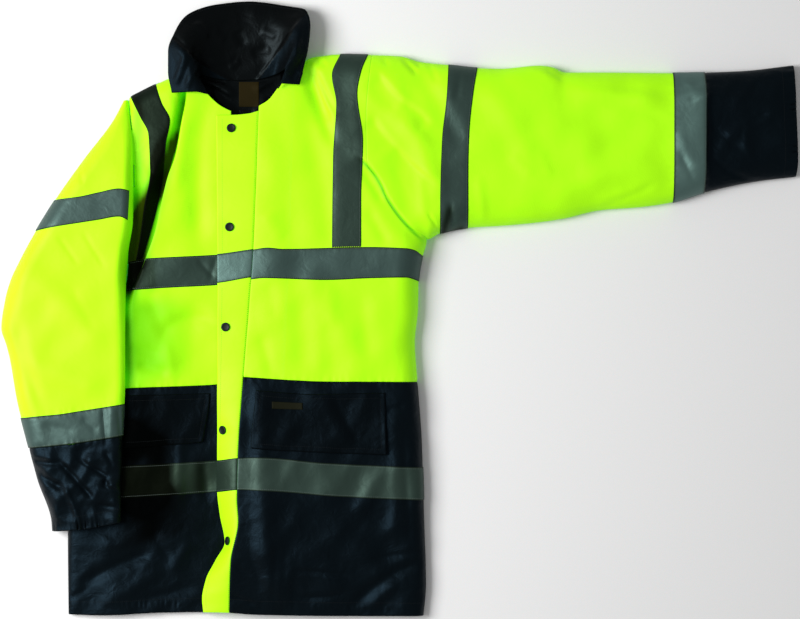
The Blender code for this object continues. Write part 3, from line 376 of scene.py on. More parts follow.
# ------------ the largest folds: two ends (x, y), width and height of the ridge
FOLDS = (
    # start            end            width height
    ((-150, 388), (-108, 268),   11,  -6),      # drag line from the collar
    ((-226, 200), (-205, -70),   20,   3),      # along the left front
    ((-150, 60),  (-60, -90),    24,   4),      # slack over the left pocket
    ((-14, 370),  (60, 190),     18,   5),      # sleeve head
    ((30, 385),   (100, 260),    16,  -4),
    ((150, 350),  (230, 200),    22,   4),
    ((250, 370),  (420, 330),    20,   4),
    ((250, 190),  (400, 240),    22,   4),
    ((460, 350),  (620, 320),    16,   4),      # cuff
    ((-590, 60),  (-470, -60),   22,   4),      # folded sleeve
    ((-600, -80), (-480, -130),  20,   4),
    ((-120, -330), (10, -470),   22,   4),      # skirt
)

# %% [markdown]
# ## Creases, one by one
#
# Creases decide whether cloth looks like cloth.  Each row is one crease: its two
# ends, how far its middle bows out, its width and its height, in millimetres; a
# trough has a negative height.  They are placed where this jacket pulls: from the
# collar down to the chest, over the sleeve head, beside the flap, round the pocket
# and at the elastic of the cuffs.  Gathers are rows of small puckers along a seam:
# two ends, width, spacing and height.

# %% Creases of the fronts, sleeves and collar
FRONT_CREASES = (
    # x0, y0, x1, y1, bow, width, height -- left front
    (-146, 402, -106, 319, 0, 5, -4), (-138, 406, -118, 391, 0, 5, -4), (-122, 414, -110, 398, 0, 4, -3),
    (-146, 386, -112, 304, 0, 7, -5.5, 1), (-150, 330, -122, 210, 4, 20, -3),
    (-218, 306, -182, -105, -6.4, 22, 3), (-214, 153, -190, 113, 0, 14, 1.6),
    (-221, -41, -206, -103, 0, 10, -2), (-211, 41, -198, -14, 0, 12, -1.6),
    (-122, 210, -115, 102, 0, 14, -1.6), (-51, 159, -21, 106, 0, 10, -2.4),
    (-112, 41, -107, -23, 0, 12, 1.4), (-60, 20, -52, -80, 0, 14, -1.6),
    (-160, 15, -154, -100, 0, 16, -1.6), (-130, -20, -128, -100, 0, 12, 1.2),
    # armhole
    (-64, 240, -24, 182, -4.8, 5, -5, 1), (-26, 186, 35, 112, 4.8, 5.5, -5.5, 1),
    (-56, 218, -28, 172, 0, 7, -2),
    # sleeve head
    (-35, 376, 5, 330, 3, 7, -4, 1), (5, 330, 46, 298, -2, 7, -3.4, 1), (-45, 304, -11, 262, 2, 9, -4, 1),
    (-11, 262, 59, 198, 4.8, 9, -4, 1), (-62, 354, 66, 250, 4.8, 14, 2.4),
    (-6, 230, 14, 153, 0, 14, -2.4), (32, 212, 40, 145, 0, 9, 1.8), (3, 404, 27, 378, 0, 4, -4),
    (-136, 404, -128, 386, 0, 4, -3), (-27, 404, -20, 390, 0, 4, -2),
    (19, 404, 34, 388, 0, 3.5, -3), (45, 398, 59, 364, 0, 5, -2), (45, 153, 58, 134, 0, 3, -2),
    # stretched sleeve
    (80, 170, 85, 116, 0, 4, -3), (88, 150, 76, 128, 0, 3.5, -3), (98, 390, 90, 335, 0, 6, -1.6),
    (126, 210, 134, 130, 0, 8, 1.6), (178, 244, 210, 214, 0, 10, 1.2), (224, 255, 238, 214, 0, 9, 1),
    (206, 391, 243, 372, 0, 8, 2), (235, 385, 262, 369, 0, 5, -3), (280, 362, 429, 348, 0, 9, -1.8),
    (331, 330, 424, 302, -3.2, 10, -1.4), (328, 164, 405, 198, 0, 6, -2.2),
    (317, 177, 387, 190, 0, 8, 1.4), (189, 158, 259, 148, 0, 6, -1.4), (256, 335, 384, 271, 9.6, 22, -1.2),
    (144, 335, 320, 207, -12.8, 30, 1.2),
    # stretched cuff
    (486, 372, 486, 190, 0, 10, 8.5, 1), (442, 348, 480, 361, 0, 5, -1.6), (461, 335, 490, 351, 0, 4, -2),
    (448, 287, 480, 223, 6.4, 9, 1.4), (454, 372, 470, 352, 0, 5, 2), (448, 250, 470, 205, 0, 5, -1.6),
    (499, 241, 565, 206, 4.8, 5, -3.4), (517, 266, 595, 308, -8, 9, 2.8), (544, 287, 589, 316, 0, 5, -2.2),
    (490, 295, 547, 255, 0, 7, -1.6), (576, 367, 547, 326, 0, 8, -1.8), (557, 303, 563, 239, 6.4, 6, 1.6),
    # right front
    (-314, 330, -320, 110, 6, 17, -5.5), (-402, 31, -379, -39, 0, 12, -2.6),
    (-384, -42, -296, -18, -14.4, 12, -3), (-437, -60, -382, -73, 0, 10, -2.2),
    (-418, -89, -373, -102, 0, 9, -2.4), (-373, -54, -363, -116, 0, 9, 1.6),
    (-322, 78, -298, 52, 0, 4, -1.8), (-294, 84, -304, 46, 0, 4, -1.4), (-342, 303, -358, 191, 0, 9, 1.6),
    (-330, 10, -342, -100, 0, 16, -2), (-408, 240, -394, 214, 0, 5, -2.5), (-420, 252, -404, 276, 0, 5, 2),
    # right skirt
    (-350, -209, -355, -308, 0, 8, 3), (-315, -246, -310, -308, 0, 7, -3),
    (-512, -442, -397, -391, -4.8, 10, -5), (-480, -474, -381, -418, 0, 12, 3.2),
    (-410, -466, -341, -447, 0, 8, -3.2), (-368, -420, -336, -374, 0, 10, 2.6),
    (-355, -482, -317, -449, 0, 8, 2.2), (-530, -466, -501, -447, 0, 5, -2.4),
    (-520, -377, -429, -370, 3.2, 14, 2.4), (-400, -353, -371, -401, 0, 8, -2),
    # left skirt
    (-226, -129, -221, -260, 0, 15, 4.2), (-221, -260, -198, -471, 4.8, 18, 5.5),
    (-173, -391, -182, -471, 0, 8, 2.2), (-198, -375, -203, -474, 0, 6, -2),
    (-22, -242, -72, -330, 0, 12, 3.2), (-8, -145, -8, -378, 0, 12, 3.4), (-21, -162, 5, -154, 0, 4, -2.2),
    (37, -402, -78, -476, 8, 9, -5), (-46, -401, 42, -386, 0, 6, -2.2), (-6, -439, -46, -476, 0, 8, 3.2),
    (-168, -418, -85, -426, -1.6, 4, -2.6), (-162, -460, -91, -455, 3.2, 5, -2.6),
    (-264, -410, -238, -426, 0, 3, -2.2), (-269, -458, -235, -473, 0, 4, -2.6),
    (-122, -134, -75, -231, 3.2, 13, 2.4), (-106, -140, -67, -210, 3.2, 9, -1.4),
    (-240, -382, -221, -449, 0, 7, -1.6), (6, -209, 16, -377, 0, 6, -1.8),
)
FOLDED_CREASES = (
    (-590, 127, -610, 28, 0, 10, 1.8), (-613, -17, -574, -151, 3.2, 11, -3.4),
    (-544, 116, -514, 73, 0, 4, -1.2), (-504, 121, -472, 70, 0, 4, -1.2), (-525, 34, -486, -36, 0, 9, -1),
    (-544, 15, -576, -68, 0, 14, 1), (-474, 303, -502, 220, 0, 8, -1), (-512, 226, -506, 201, 0, 4, -1.4),
    (-474, -153, -470, -215, 0, 3, -2.6), (-459, -158, -461, -206, 0, 4, 1.6),
    (-450, -151, -446, -212, 0, 3.4, -2.7), (-597, -249, -538, -287, 0, 6.9, -6.8),
    (-590, -239, -541, -244, 3.2, 4.6, -4.6), (-544, -242, -490, -302, 0, 4.6, -5.4),
    (-512, -239, -466, -268, 0, 3.2, -4.1), (-480, -279, -446, -292, 0, 3.4, -4.1),
    (-488, -313, -446, -318, 0, 5.8, -3.5), (-534, -282, -514, -332, 0, 4.6, 3.8),
    (-472, -271, -467, -281, 0, 4.6, -6.8), (-576, -289, -547, -330, 0, 6.9, 2.7),
    (-568, -185, -520, -194, 0, 6.9, -1.6), (-506, -174, -483, -193, 0, 5.8, -1.6),
    (-470, -225, -459, -250, 0, 4.6, -4.1),
)
COLLAR_CREASES = (
    (-358, 361, -342, 406, 0, 4, 2), (-350, 356, -334, 398, 0, 4, -2), (-340, 354, -322, 392, 0, 4, 1.6),
    (-362, 436, -326, 398, 0, 6, -2), (-186, 380, -160, 430, 0, 4, 2), (-172, 368, -152, 402, 0, 4, -2),
    (-166, 384, -150, 372, 0, 3, 2), (-326, 460, -308, 436, 0, 8, 2.4), (-300, 446, -282, 432, 0, 7, 2),
    (-262, 446, -250, 424, 0, 8, -2), (-222, 448, -200, 436, 0, 7, 2), (-306, 400, -268, 404, 3, 6, 2),
    (-274, 388, -258, 400, 0, 5, 1.6), (-236, 410, -210, 420, 0, 8, -2),
    (-365, 434, -320, 394, 0, 4, 2.6, 1), (-320, 394, -262, 362, 0, 4, 2.4, 1),
    (-158, 463, -205, 399, 0, 4, 2.4, -1), (-205, 399, -232, 366, 0, 4, 2, -1),
)
# the wings show navy cloth outside these lines, the collar's inside is black
WING_RIGHT = ((480, -400), (434, -365), (396, -323), (359, -259))
WING_LEFT = ((364, -230), (399, -205), (431, -179), (463, -160), (480, -140))
GATHERS = (
    # x0, y0, x1, y1, width, spacing, height: cuff elastic, hems, armhole, waist, tapes
    (627, 393, 635, 214, 13, 11, 1.7), (-240, -471, 40, -482, 5, 9, 0.7), (-528, -471, -320, -474, 5, 9, 0.7),
    (-61, 242, -22, 182, 6, 11, 0.4), (-22, 182, 35, 110, 6, 11, 0.4), (-448, -126, -296, -119, 6, 12, 0.6),
    (-251, -110, 29, -118, 6, 12, 0.6), (437, 370, 437, 172, 6, 12, 0.6), (490, 370, 490, 191, 6, 12, 0.6),
    (122, 390, 110, 124, 5, 13, 0.5), (78, 393, 64, 118, 5, 13, 0.5),
)
FOLDED_GATHERS = (
    (-557, -350, -518, -348, 10, 7, 1.2), (-518, -348, -483, -345, 14, 6, 2),
    (-483, -345, -450, -338, 9, 8, 1), (-608, -174, -445, -153, 5, 12, 0.6),
    (-595, -223, -445, -206, 5, 12, 0.7),
)
# the back is pressed flat: only shallow hollows lift off the ground
BACK_CREASES = (
    (-420, 250, -300, -40, 20, 16, 3), (-60, 330, -120, 20, -16, 18, 3), (-360, 60, -140, 10, 10, 14, 2.5),
    (-480, -200, -330, -420, 12, 16, 3), (-20, -180, -160, -430, -14, 16, 3),
    (-300, -300, -180, -470, 8, 12, 2.5), (40, 350, 260, 200, 14, 16, 3),
    (200, 360, 430, 260, -12, 14, 2.5), (520, 340, 600, 240, 8, 10, 2),
)
# painted shade where light hardly reaches: two ends, bow, width, share of the shade, and its long side
SHADED = (
    (-374, 262, -436, 22, 0, 14, 1.0), (-406, 190, -440, 20, 0, 14, 0.9), (-418, 150, -434, 70, 0, 13, 0.9),
    (-422, 335, -416, 200, 0, 9, 0.3), (-424, 200, -432, 90, 0, 10, 0.5),
    (-342, 352, -366, 238, 0, 3.5, 0.8, 1), (-356, 280, -384, 175, 0, 3.5, 0.7, 1),
    (-440, -5, -437, -120, 0, 9, 0.4), (-428, 24, -424, -112, 0, 58, 0.46),
    (-362, 16, -374, -112, 0, 34, 0.12), (-445, -112, -425, -240, 0, 46, 0.45),
    (-432, -180, -430, -330, 0, 36, 0.8), (-387, -200, -383, -315, 0, 20, 0.8),
    (-322, -235, -322, -300, 0, 12, 0.4), (-412, -296, -390, -372, 0, 52, 0.9),
    (-406, 84, -398, 28, 0, 12, 0.3), (-64, 240, -24, 182, -4.8, 3, 0.5), (-26, 186, 35, 112, 4.8, 3, 0.6),
    (80, 164, 68, 116, 0, 5, 0.6), (104, 130, 70, 112, 0, 6, 0.7),
)
# painted shade laid over whole pieces that the light reaches less: the least share of it on each
LEAST_SHADE = {
    "front_right_brace_tape": 0.85, "front_right_chest_tape": 0.3, "front_right_hem_tape": 0.45,
    "front_left_brace_tape": 0.35, "front_left_hem_tape": 0.3, "flap_hem_tape": 0.45,
    "sleeve_left_arm_tape": 0.2, "pocket_flap_right": 0.35, "pocket_flap_left": 0.3, "collar": 0.25,
}
IN_SHADE = ("front", "pocket", "sleeve_left")       # the pieces that the rows of SHADED reach
# painted shade: TAPE_EDGE darkens the stitched edge of a tape, TAPE_EDGE_WIDTH is how wide
TAPE_EDGE, TAPE_EDGE_WIDTH = 0.8, 2.0      # shade in the stitched edge of a tape, and how wide
print("creases:", len(FRONT_CREASES) + len(FOLDED_CREASES) + len(COLLAR_CREASES) + len(BACK_CREASES))

# %% [markdown]
# ## Smooth curves
#
# A line of the cut is a curve through its points that never overshoots them, a
# monotone cubic.  `crossing` finds the place where a line down the body meets a line
# across it, by going back and forth between the two until both agree.

# %% Curves through the tables
def hermite(t0, t1, v0, v1, m0, m1, t):
    """Cubic piece from (t0, v0) to (t1, v1) with the end slopes m0 and m1."""
    step = t1 - t0
    f = (t - t0) / step
    return ((1 + 2 * f) * (1 - f) ** 2 * v0 + f * (1 - f) ** 2 * step * m0
            + f * f * (3 - 2 * f) * v1 + f * f * (f - 1) * step * m1)


def slopes(t, v):
    """Slopes at the knots (rows) that keep a curve through them from overshooting."""
    secant = np.diff(v, axis=0) / np.diff(t, axis=0)
    a, b = secant[:-1], secant[1:]
    same = a * b > 0
    inner = np.where(same, 2 * a * b / np.where(same, a + b, 1), 0)
    return np.concatenate([secant[:1], inner, secant[-1:]])


def curve(pairs):
    """Smooth function through (place, value) pairs, straight on beyond both ends."""
    t, v = np.array(sorted(pairs), float).T
    m = slopes(t, v)

    def at(q):
        inside = np.clip(q, t[0], t[-1])
        i = np.clip(np.searchsorted(t, inside, side="right") - 1, 0, len(t) - 2)
        value = hermite(t[i], t[i + 1], v[i], v[i + 1], m[i], m[i + 1], inside)
        return value + (q - inside) * np.where(q < t[0], m[0], m[-1])
    return at


def between(t, v, q):
    """Smooth value at q from knots t with values v, which have one column a point."""
    m = slopes(t, v)
    q = np.clip(q, t[0], t[-1])
    i = np.clip((q >= t).sum(axis=0) - 1, 0, len(t) - 2)
    k = np.arange(len(q))
    return hermite(t[i, k], t[i + 1, k], v[i, k], v[i + 1, k], m[i, k], m[i + 1, k], q)


def smooth_step(f):
    """From 0 to 1 with level ends, for f from 0 to 1."""
    f = np.clip(f, 0, 1)
    return f * f * (3 - 2 * f)


def smooth_min(a, b, width=0.3):
    """The smaller of a and b, with a rounded change-over."""
    h = np.clip(width - np.abs(a - b), 0, None) / width
    return np.minimum(a, b) - h * h * width / 4


def on_lines(lines, place, number):
    """Value at a place on the lines, between line numbers such as 2.5."""
    i = np.clip(number.astype(int), 0, len(lines) - 2)
    table = np.array([line(place) for line in lines])
    k = np.arange(len(place))
    f = number - i
    return table[i, k] * (1 - f) + table[i + 1, k] * f


CROSSING_ROUNDS = 16


def crossing(down, across, u, v):
    """Plan point where line u of those down meets line v of those across."""
    x = np.full(u.shape, -200.0)
    y = np.zeros(u.shape)
    for _ in range(CROSSING_ROUNDS):
        y = on_lines(across, x, v)
        x = on_lines(down, y, u)
    return x, y


def curves(*tables):
    return [curve(table) for table in tables]


at_chest = float(curve(SIDE_LEFT)(100.0) - curve(SIDE_RIGHT)(100.0))
print(f"across the chest: {at_chest:.0f} mm")

# %% [markdown]
# ## From a crease table to a height
#
# A crease is a soft ridge: its height falls off with the distance to a slightly
# bowed line, and fades at both ends.  Adding them all to the height of the cloth,
# before its normals are worked out, lets tapes and pockets ride over the same
# creases as the panel under them.

# %% Creases and gathers as heights
def bowed(x, y, x0, y0, x1, y1, bow=0):
    """Share of the way along a bowed line, the distance off it and its length, in millimetres."""
    along = np.array([x1 - x0, y1 - y0], float)
    length = np.hypot(*along)
    f = ((x - x0) * along[0] + (y - y0) * along[1]) / length ** 2
    off = ((x - x0) * along[1] - (y - y0) * along[0]) / length
    return f, off - bow * 4 * f * (1 - f), length


def end_fade(f):
    """1 along the middle of a crease, fading out just past both of its ends."""
    return smooth_step((0.5 - np.abs(f - 0.5)) * 3 + 0.4)


SLOPING, STEEP = 3.2, 0.6       # widths of the long side and the short side of a crease that has them
REACH = 3                       # a crease is nothing beyond so many of its widths


def crease_height(table, x, y):
    """Sum of the creases of a table.

    A row with an eighth value has a long side, to the right (1) or left (-1) of its way.
    """
    total = np.zeros(x.shape)
    for x0, y0, x1, y1, bow, width, height, *long_side in table:
        f, off, _ = bowed(x, y, x0, y0, x1, y1, bow)
        near = (np.abs(off) < width * REACH * SLOPING) & (f > -0.4) & (f < 1.4)
        f, off = f[near], off[near]
        side = long_side[0] if long_side else 0
        spread = np.where(off * side > 0, width * SLOPING, width * (STEEP if side else 1))
        total[near] += height * end_fade(f) * np.exp(-(off / spread) ** 2)
    return total


def gather_height(table, x, y):
    """Sum of the puckers of a table, uneven in spacing and depth along each seam."""
    total = np.zeros(x.shape)
    for x0, y0, x1, y1, width, spacing, height in table:
        f, off, length = bowed(x, y, x0, y0, x1, y1)
        near = (np.abs(off) < width * REACH) & (f > -0.02) & (f < 1.02)
        s = f[near] * length / spacing * 2 * np.pi
        wave = np.sin(s + 1.3 * np.sin(s * 0.31 + 0.4)) * (0.7 + 0.3 * np.sin(s * 0.17 + 1))
        total[near] += height * wave * np.exp(-(off[near] / width) ** 2)
    return total


print("highest crease of the fronts:", max(row[6] for row in FRONT_CREASES), "mm")

# %% [markdown]
# Between the named creases the cloth is never quite level.  A sum of slow waves in
# fixed, seeded directions gives that unevenness, the same on every run.

# %% Slow unevenness of slack cloth
draws = np.random.default_rng(7)


def draw_waves(shortest, longest, count):
    """Waves as (length in millimetres, direction, shift)."""
    return list(zip(draws.uniform(shortest, longest, count), draws.uniform(0, 2 * math.pi, count),
                    draws.uniform(0, 6.3, count)))


WAVES = draw_waves(50, 150, 26)
CRUMPLES = draw_waves(30, 80, 9)


def slack(x, y):
    """Soft unevenness with a height of about one."""
    total = np.zeros(x.shape)
    for length, turn, shift in WAVES:
        total += np.sin((x * math.cos(turn) + y * math.sin(turn)) * 2 * math.pi / length + shift)
    return total / math.sqrt(len(WAVES))


BEND, BEND_X, BEND_Y, SHARPNESS = 7, 23, 19, 0.01       # how the ridges wander, and how sharp they are


def crumple(x, y):
    """Sharp little ridges of a coated cloth, with a height of about one."""
    bent_x, bent_y = x + BEND * np.sin(y / BEND_X), y + BEND * np.sin(x / BEND_Y)
    total = np.zeros(x.shape)
    for length, turn, shift in CRUMPLES:
        wave = np.sin((bent_x * math.cos(turn) + bent_y * math.sin(turn)) * math.pi / length + shift)
        total += 0.64 - np.sqrt(wave * wave + SHARPNESS)      # 0.64 is the middle of |sin|
    return total


print("slow waves:", len(WAVES), "crumples:", len(CRUMPLES))

# %% [markdown]
# ## The surfaces of the body
#
# Each face of the body rolls up from its outline in a quarter-round and then follows
# its height.  `rolled` returns points and outward normals together, so a tape is
# simply the same place moved out by its thickness.

# %% Front and back faces
BACK_ROLL, SIDE_ROLL, EDGE_BLEND = 16.0, 12.0, 6.0
ARMHOLE_RISE, ARMHOLE_BLEND = 13.0, 34.0      # height of the right armhole seam over the side edge
ARMHOLE_FOOT, ARMHOLE_TOP = 40, 338
SLACK_FRONT, SLACK_SLEEVE, NAVY_CRUMPLE = 1.2, 0.9, 0.55
NAVY_BELOW, NAVY_BEYOND = -108, 484           # where the navy skirt and cuff begin
SLEEVE_FROM, SLEEVE_BLEND = -20, 140          # the body's height becomes the sleeve's from there on

side_right, flap_free, flap_seam = curves(SIDE_RIGHT, FLAP_FREE, FLAP_SEAM)
shoulder_right, shoulder_left = curves(SHOULDER_RIGHT, NECK_LEFT + FRONT_TOP[16:])
under_arm = curve(((-600, 112),) + ARMPIT[5:])
body_side = curve(((500, 43),) + SIDE_LEFT[8:])
height_lines = curves(*HEIGHT_LINES)
height_rows = [curve([(row[0], row[n + 1]) for row in HEIGHTS]) for n in range(len(HEIGHT_LINES))]
sleeve_height, roll_width, shoulder_width = curves(SLEEVE_HEIGHT, ROLL_WIDTH, SHOULDER_WIDTH)


def outline_depth(x, y):
    """Distance into the outline from its closed edges: left and under arm, shoulders, right."""
    from_side, from_under = body_side(y) - x, y - under_arm(x)
    both = np.hypot(np.maximum(from_side, 0), np.maximum(from_under, 0))
    below = both + np.minimum(np.maximum(from_side, from_under), 0)
    above = np.where(x < -260, shoulder_right(x), shoulder_left(x)) - y
    return below, above, x - side_right(y)


def front_reach(x, y):
    """0 on the outline and 1 where the rounded edge of the front ends."""
    below, above, right = outline_depth(x, y)
    reach = smooth_min(below / roll_width(x), above / shoulder_width(x))
    return smooth_min(reach, right / SIDE_ROLL)


def back_reach(x, y):
    below, above, right = outline_depth(x, y)
    return smooth_min(smooth_min(below, above, EDGE_BLEND), right, EDGE_BLEND) / BACK_ROLL


def fold_height(x, y):
    """The largest folds of the solid itself."""
    total = np.zeros(x.shape)
    for start, end, width, height in FOLDS:
        f, off, _ = bowed(x, y, *start, *end)
        total += height * end_fade(f) * np.exp(-(off / width) ** 2)
    return total


def front_height(x, y):
    """Height of the upper face away from its rounded edges, with its creases."""
    knots = np.array([line(y) for line in height_lines])
    values = np.array([row(y) for row in height_rows])
    share = smooth_step((x - SLEEVE_FROM) / SLEEVE_BLEND)
    base = between(knots, values, x) * (1 - share) + sleeve_height(x) * share
    navy = np.maximum(smooth_step((NAVY_BELOW - y) / 20), smooth_step((x - NAVY_BEYOND) / 16))
    return (base + fold_height(x, y) + crease_height(FRONT_CREASES, x, y) + gather_height(GATHERS, x, y)
            + SLACK_FRONT * slack(x, y) + NAVY_CRUMPLE * navy * crumple(x, y))


def gradient(field, x, y, step=0.5):
    """Slope of a field along x and y."""
    return np.array([(field(x + step, y) - field(x - step, y)) / (2 * step),
                     (field(x, y + step) - field(x, y - step)) / (2 * step)])


def unit(x, y, z):
    """Unit vectors, one row a point, from their three parts."""
    vector = np.array([x, y, z])
    return (vector / np.linalg.norm(vector, axis=0)).T


def raised(height, x, y):
    """Points and normals of a face that is a height over the plan."""
    slope = gradient(height, x, y)
    return np.stack([x, y, height(x, y)], 1), unit(-slope[0], -slope[1], np.ones(x.shape))


def rolled(x, y, edge, swell, reach, side):
    """Point and outward normal of a face that rolls from its edge height."""
    near = np.clip(reach(x, y), 0, 1)
    cos, sin = 1 - near, np.sqrt(near * (2 - near))
    rise = swell(x, y)
    z = edge(x, y) + side * rise * sin
    slope = gradient(edge, x, y) + side * gradient(swell, x, y) * sin
    outward = gradient(reach, x, y) * rise * cos
    flat = -side * sin * slope - outward
    return np.stack([x, y, z], 1), unit(flat[0], flat[1], side * sin)


def level(height):
    return lambda x, y: np.full(x.shape, float(height))


def armhole_rise(y):
    """The right armhole seam lies up on the jacket between the shoulder and the arm pit."""
    return ARMHOLE_RISE * smooth_step((y - ARMHOLE_FOOT) / 60) * smooth_step((ARMHOLE_TOP - y) / 50)


def right_edge(x, y):
    """Height of the right front's edge: the side seam, raised along the armhole."""
    return FRONT_EDGE + armhole_rise(y) * smooth_step(1 - (x - side_right(y)) / ARMHOLE_BLEND)


def front_face(x, y, edge=FRONT_EDGE):
    return rolled(x, y, level(edge), lambda p, q: front_height(p, q) - edge, front_reach, 1)


def back_face(x, y, edge=BACK_EDGE):
    flat = lambda p, q: edge - FLAT - crease_height(BACK_CREASES, p, q)
    return rolled(x, y, level(edge), flat, back_reach, -1)


def right_front_face(x, y):
    """The right front runs on level under the flap."""
    held = lambda p, q: front_height(np.minimum(p, flap_free(q)), q) - right_edge(p, q)
    return rolled(x, y, right_edge, held, front_reach, 1)


middle = np.array([-110.0]), np.array([0.0])
print(f"the left front is {front_face(*middle)[0][0, 2]:.0f} mm high at its middle")

# %% [markdown]
# ## Storm flap, folded sleeve and collar
#
# The flap starts level on the left front and falls over the right one, with a small
# dimple at each press stud.  The folded sleeve is a tube whose lower side lies on the
# ground outside the body and on the body's margin inside it.  The collar stands on
# ribs, each with a base, a break where it rolls over, and a rim.

# %% Faces of the flap, the folded sleeve and the collar
# ------ ribs of the opened collar: base, break and rim points, each (x, y, z)
COLLAR_RIBS = (
    # base             break             rim
    (-306, 344, 38,   -326, 347, 46,   -365, 346, 38),
    (-312, 357, 39,   -336, 374, 50,   -371, 380, 38),
    (-320, 371, 39,   -342, 402, 50,   -371, 412, 38),
    (-318, 381, 30,   -338, 430, 42,   -360, 446, 32),
    (-300, 377, 10,   -318, 450, 28,   -341, 473, 22),
    (-278, 373.5, 7,  -284, 460, 17,   -299, 489, 14),
    (-256, 371.6, 7,  -250, 462, 14,   -243, 495, 11),
    (-230, 374, 7,    -212, 460, 17,   -190, 489, 13),
    (-205, 381, 10,   -182, 452, 30,   -152, 481, 24),
    (-187, 388, 31,   -166, 436, 44,   -143, 454, 34),
    (-178, 385, 40,   -166, 412, 50,   -146, 418, 38),
    (-186, 370, 40,   -180, 384, 51,   -154, 383, 40),
    (-196, 353, 39,   -190, 360, 46,   -160, 359, 40),
)

STUDS = ((290, 0.36, 0.6), (132, 0.34, 0.6), (-28, 0.28, 0.6), (-193, 0.28, 0.6), (-370, 0.44, 1.7))
FLAP_BEND, FLAP_LIFT = 1.6, 4.4
STUD_DIMPLE, STUD_DIMPLE_WIDTH = 1.0, 13
SLEEVE_CLEAR, FOLD_OUTER_ROLL, FOLD_INNER_ROLL, FOLD_UPPER_ROLL = 4.0, 34.0, 26.0, 15.0
CUFF_CRUMPLE, FINE_CRUMPLE = 1.8, 1.3         # of the folded cuff: height, and how much finer
CREASED_BELOW, FOLDED_NAVY_BELOW = 270, -206
SLACK_COLLAR, COLLAR_FINENESS = 0.5, 1.7      # unevenness of the collar, and how much finer it is
ON_BODY, ON_BODY_BLEND = 52, 46               # where the folded sleeve climbs onto the body's side,
ON_BODY_BELOW, ON_BODY_FADE = 95, 55          # from the arm pit down


def stud_place(y, share):
    at = np.array([float(y)])
    return flap_free(at) * (1 - share) + flap_seam(at) * share, at


def flap_height(x, y):
    """From over the right front at the free edge to the left front at the seam."""
    low, high = flap_free(y), flap_seam(y)
    f = (x - low) / (high - low)
    start, end = front_height(low, y) + FLAP_LIFT, front_height(high, y)
    z = start + (end - start) * (1 - (1 - np.clip(f, 0, 1)) ** FLAP_BEND)
    for stud_y, share, _ in STUDS:
        stud_x, at = stud_place(stud_y, share)
        z = z - STUD_DIMPLE * np.exp(-((x - stud_x) ** 2 + (y - at) ** 2) / STUD_DIMPLE_WIDTH ** 2)
    return z


def flap_face(x, y):
    return raised(flap_height, x, y)


fold_out, fold_in = curves(FOLD_EDGE_OUT, FOLD_EDGE_IN)
fold_height_along, fold_inner, fold_outer = curves(FOLD_HEIGHT, FOLD_INNER_EDGE, FOLD_OUTER_EDGE)


def fold_edge(x, y):
    """Height of the folded sleeve's edges, from the outer one to the inner one."""
    f = smooth_step((x - fold_out(y)) / (fold_in(y) - fold_out(y)))
    return fold_outer(y) * (1 - f) + (fold_inner(y) + armhole_rise(y) * smooth_step((y - 60) / 60)) * f


def fold_upper(x, y):
    held = smooth_step((CREASED_BELOW - y) / 60)
    on_cuff = smooth_step((FOLDED_NAVY_BELOW - y) / 20)
    cuff = CUFF_CRUMPLE * on_cuff * crumple(x * FINE_CRUMPLE, y * FINE_CRUMPLE)
    fine = (crease_height(FOLDED_CREASES, x, y) + gather_height(FOLDED_GATHERS, x, y)
            + SLACK_SLEEVE * slack(x, y) + cuff)
    return fold_height_along(y) + (fold_height(x, y) + fine) * held - fold_edge(x, y)


def fold_lower(x, y):
    """Down to the ground, or to the body's margin where the sleeve lies on it."""
    over = (smooth_step((x - side_right(y) + ON_BODY) / ON_BODY_BLEND)
            * smooth_step((ON_BODY_BELOW - y) / ON_BODY_FADE))
    margin = front_height(np.maximum(x, side_right(y)), y) + SLEEVE_CLEAR
    return fold_edge(x, y) - (FLAT + (margin - FLAT) * over)


def fold_reach(x, y, inner_roll=FOLD_UPPER_ROLL):
    width = fold_in(y) - fold_out(y)
    outer, inner = np.minimum(FOLD_OUTER_ROLL, width / 2), np.minimum(inner_roll, width / 2)
    return smooth_min((x - fold_out(y)) / outer, (fold_in(y) - x) / inner)


def fold_face(x, y, side):
    if side > 0:
        return rolled(x, y, fold_edge, fold_upper, fold_reach, 1)
    return rolled(x, y, fold_edge, fold_lower, lambda p, q: fold_reach(p, q, FOLD_INNER_ROLL), -1)


BASE_OVER = (0, 0, 0, 5, 6, 5, 4, 5, 6, 5, 0, 0, 0)     # the base's lap over the lining, rib by rib
ribs_made = np.array(COLLAR_RIBS, float)
ribs_made[:, 1] -= BASE_OVER
collar_curves = [curve(list(enumerate(column))) for column in ribs_made.T]


def collar_point(u, v):
    knots = np.repeat(np.arange(3.0)[:, None], len(u), axis=1)
    ribs = [column(u) for column in collar_curves]
    return np.stack([between(knots, np.array(ribs[n::3]), v) for n in range(3)], 1)


def collar_face(u, v):
    """Opened collar: u counts the ribs, v is 0 at the base, 1 on the break, 2 at the rim."""
    step, last = 0.02, len(COLLAR_RIBS) - 1
    along = collar_point(np.clip(u + step, 0, last), v) - collar_point(np.clip(u - step, 0, last), v)
    up = collar_point(u, np.clip(v + step, 0, 2)) - collar_point(u, np.clip(v - step, 0, 2))
    normal = unit(*np.cross(along, up).T)
    point = collar_point(u, v)
    unevenness = SLACK_COLLAR * slack(*(point[:, :2].T * COLLAR_FINENESS))
    fine = crease_height(COLLAR_CREASES, point[:, 0], point[:, 1]) + unevenness
    return point + normal * fine[:, None], normal


at_stud = stud_place(*STUDS[0][:2])
print(f"the flap is {flap_face(*at_stud)[0][0, 2]:.0f} mm high at its top stud")

# %% Panels and tubes between lines
def panel(face, down, across):
    """Surface between numbered lines: u counts the lines down, v those across."""
    down, across = curves(*down), curves(*across)
    return lambda u, v: face(*crossing(down, across, u, v))


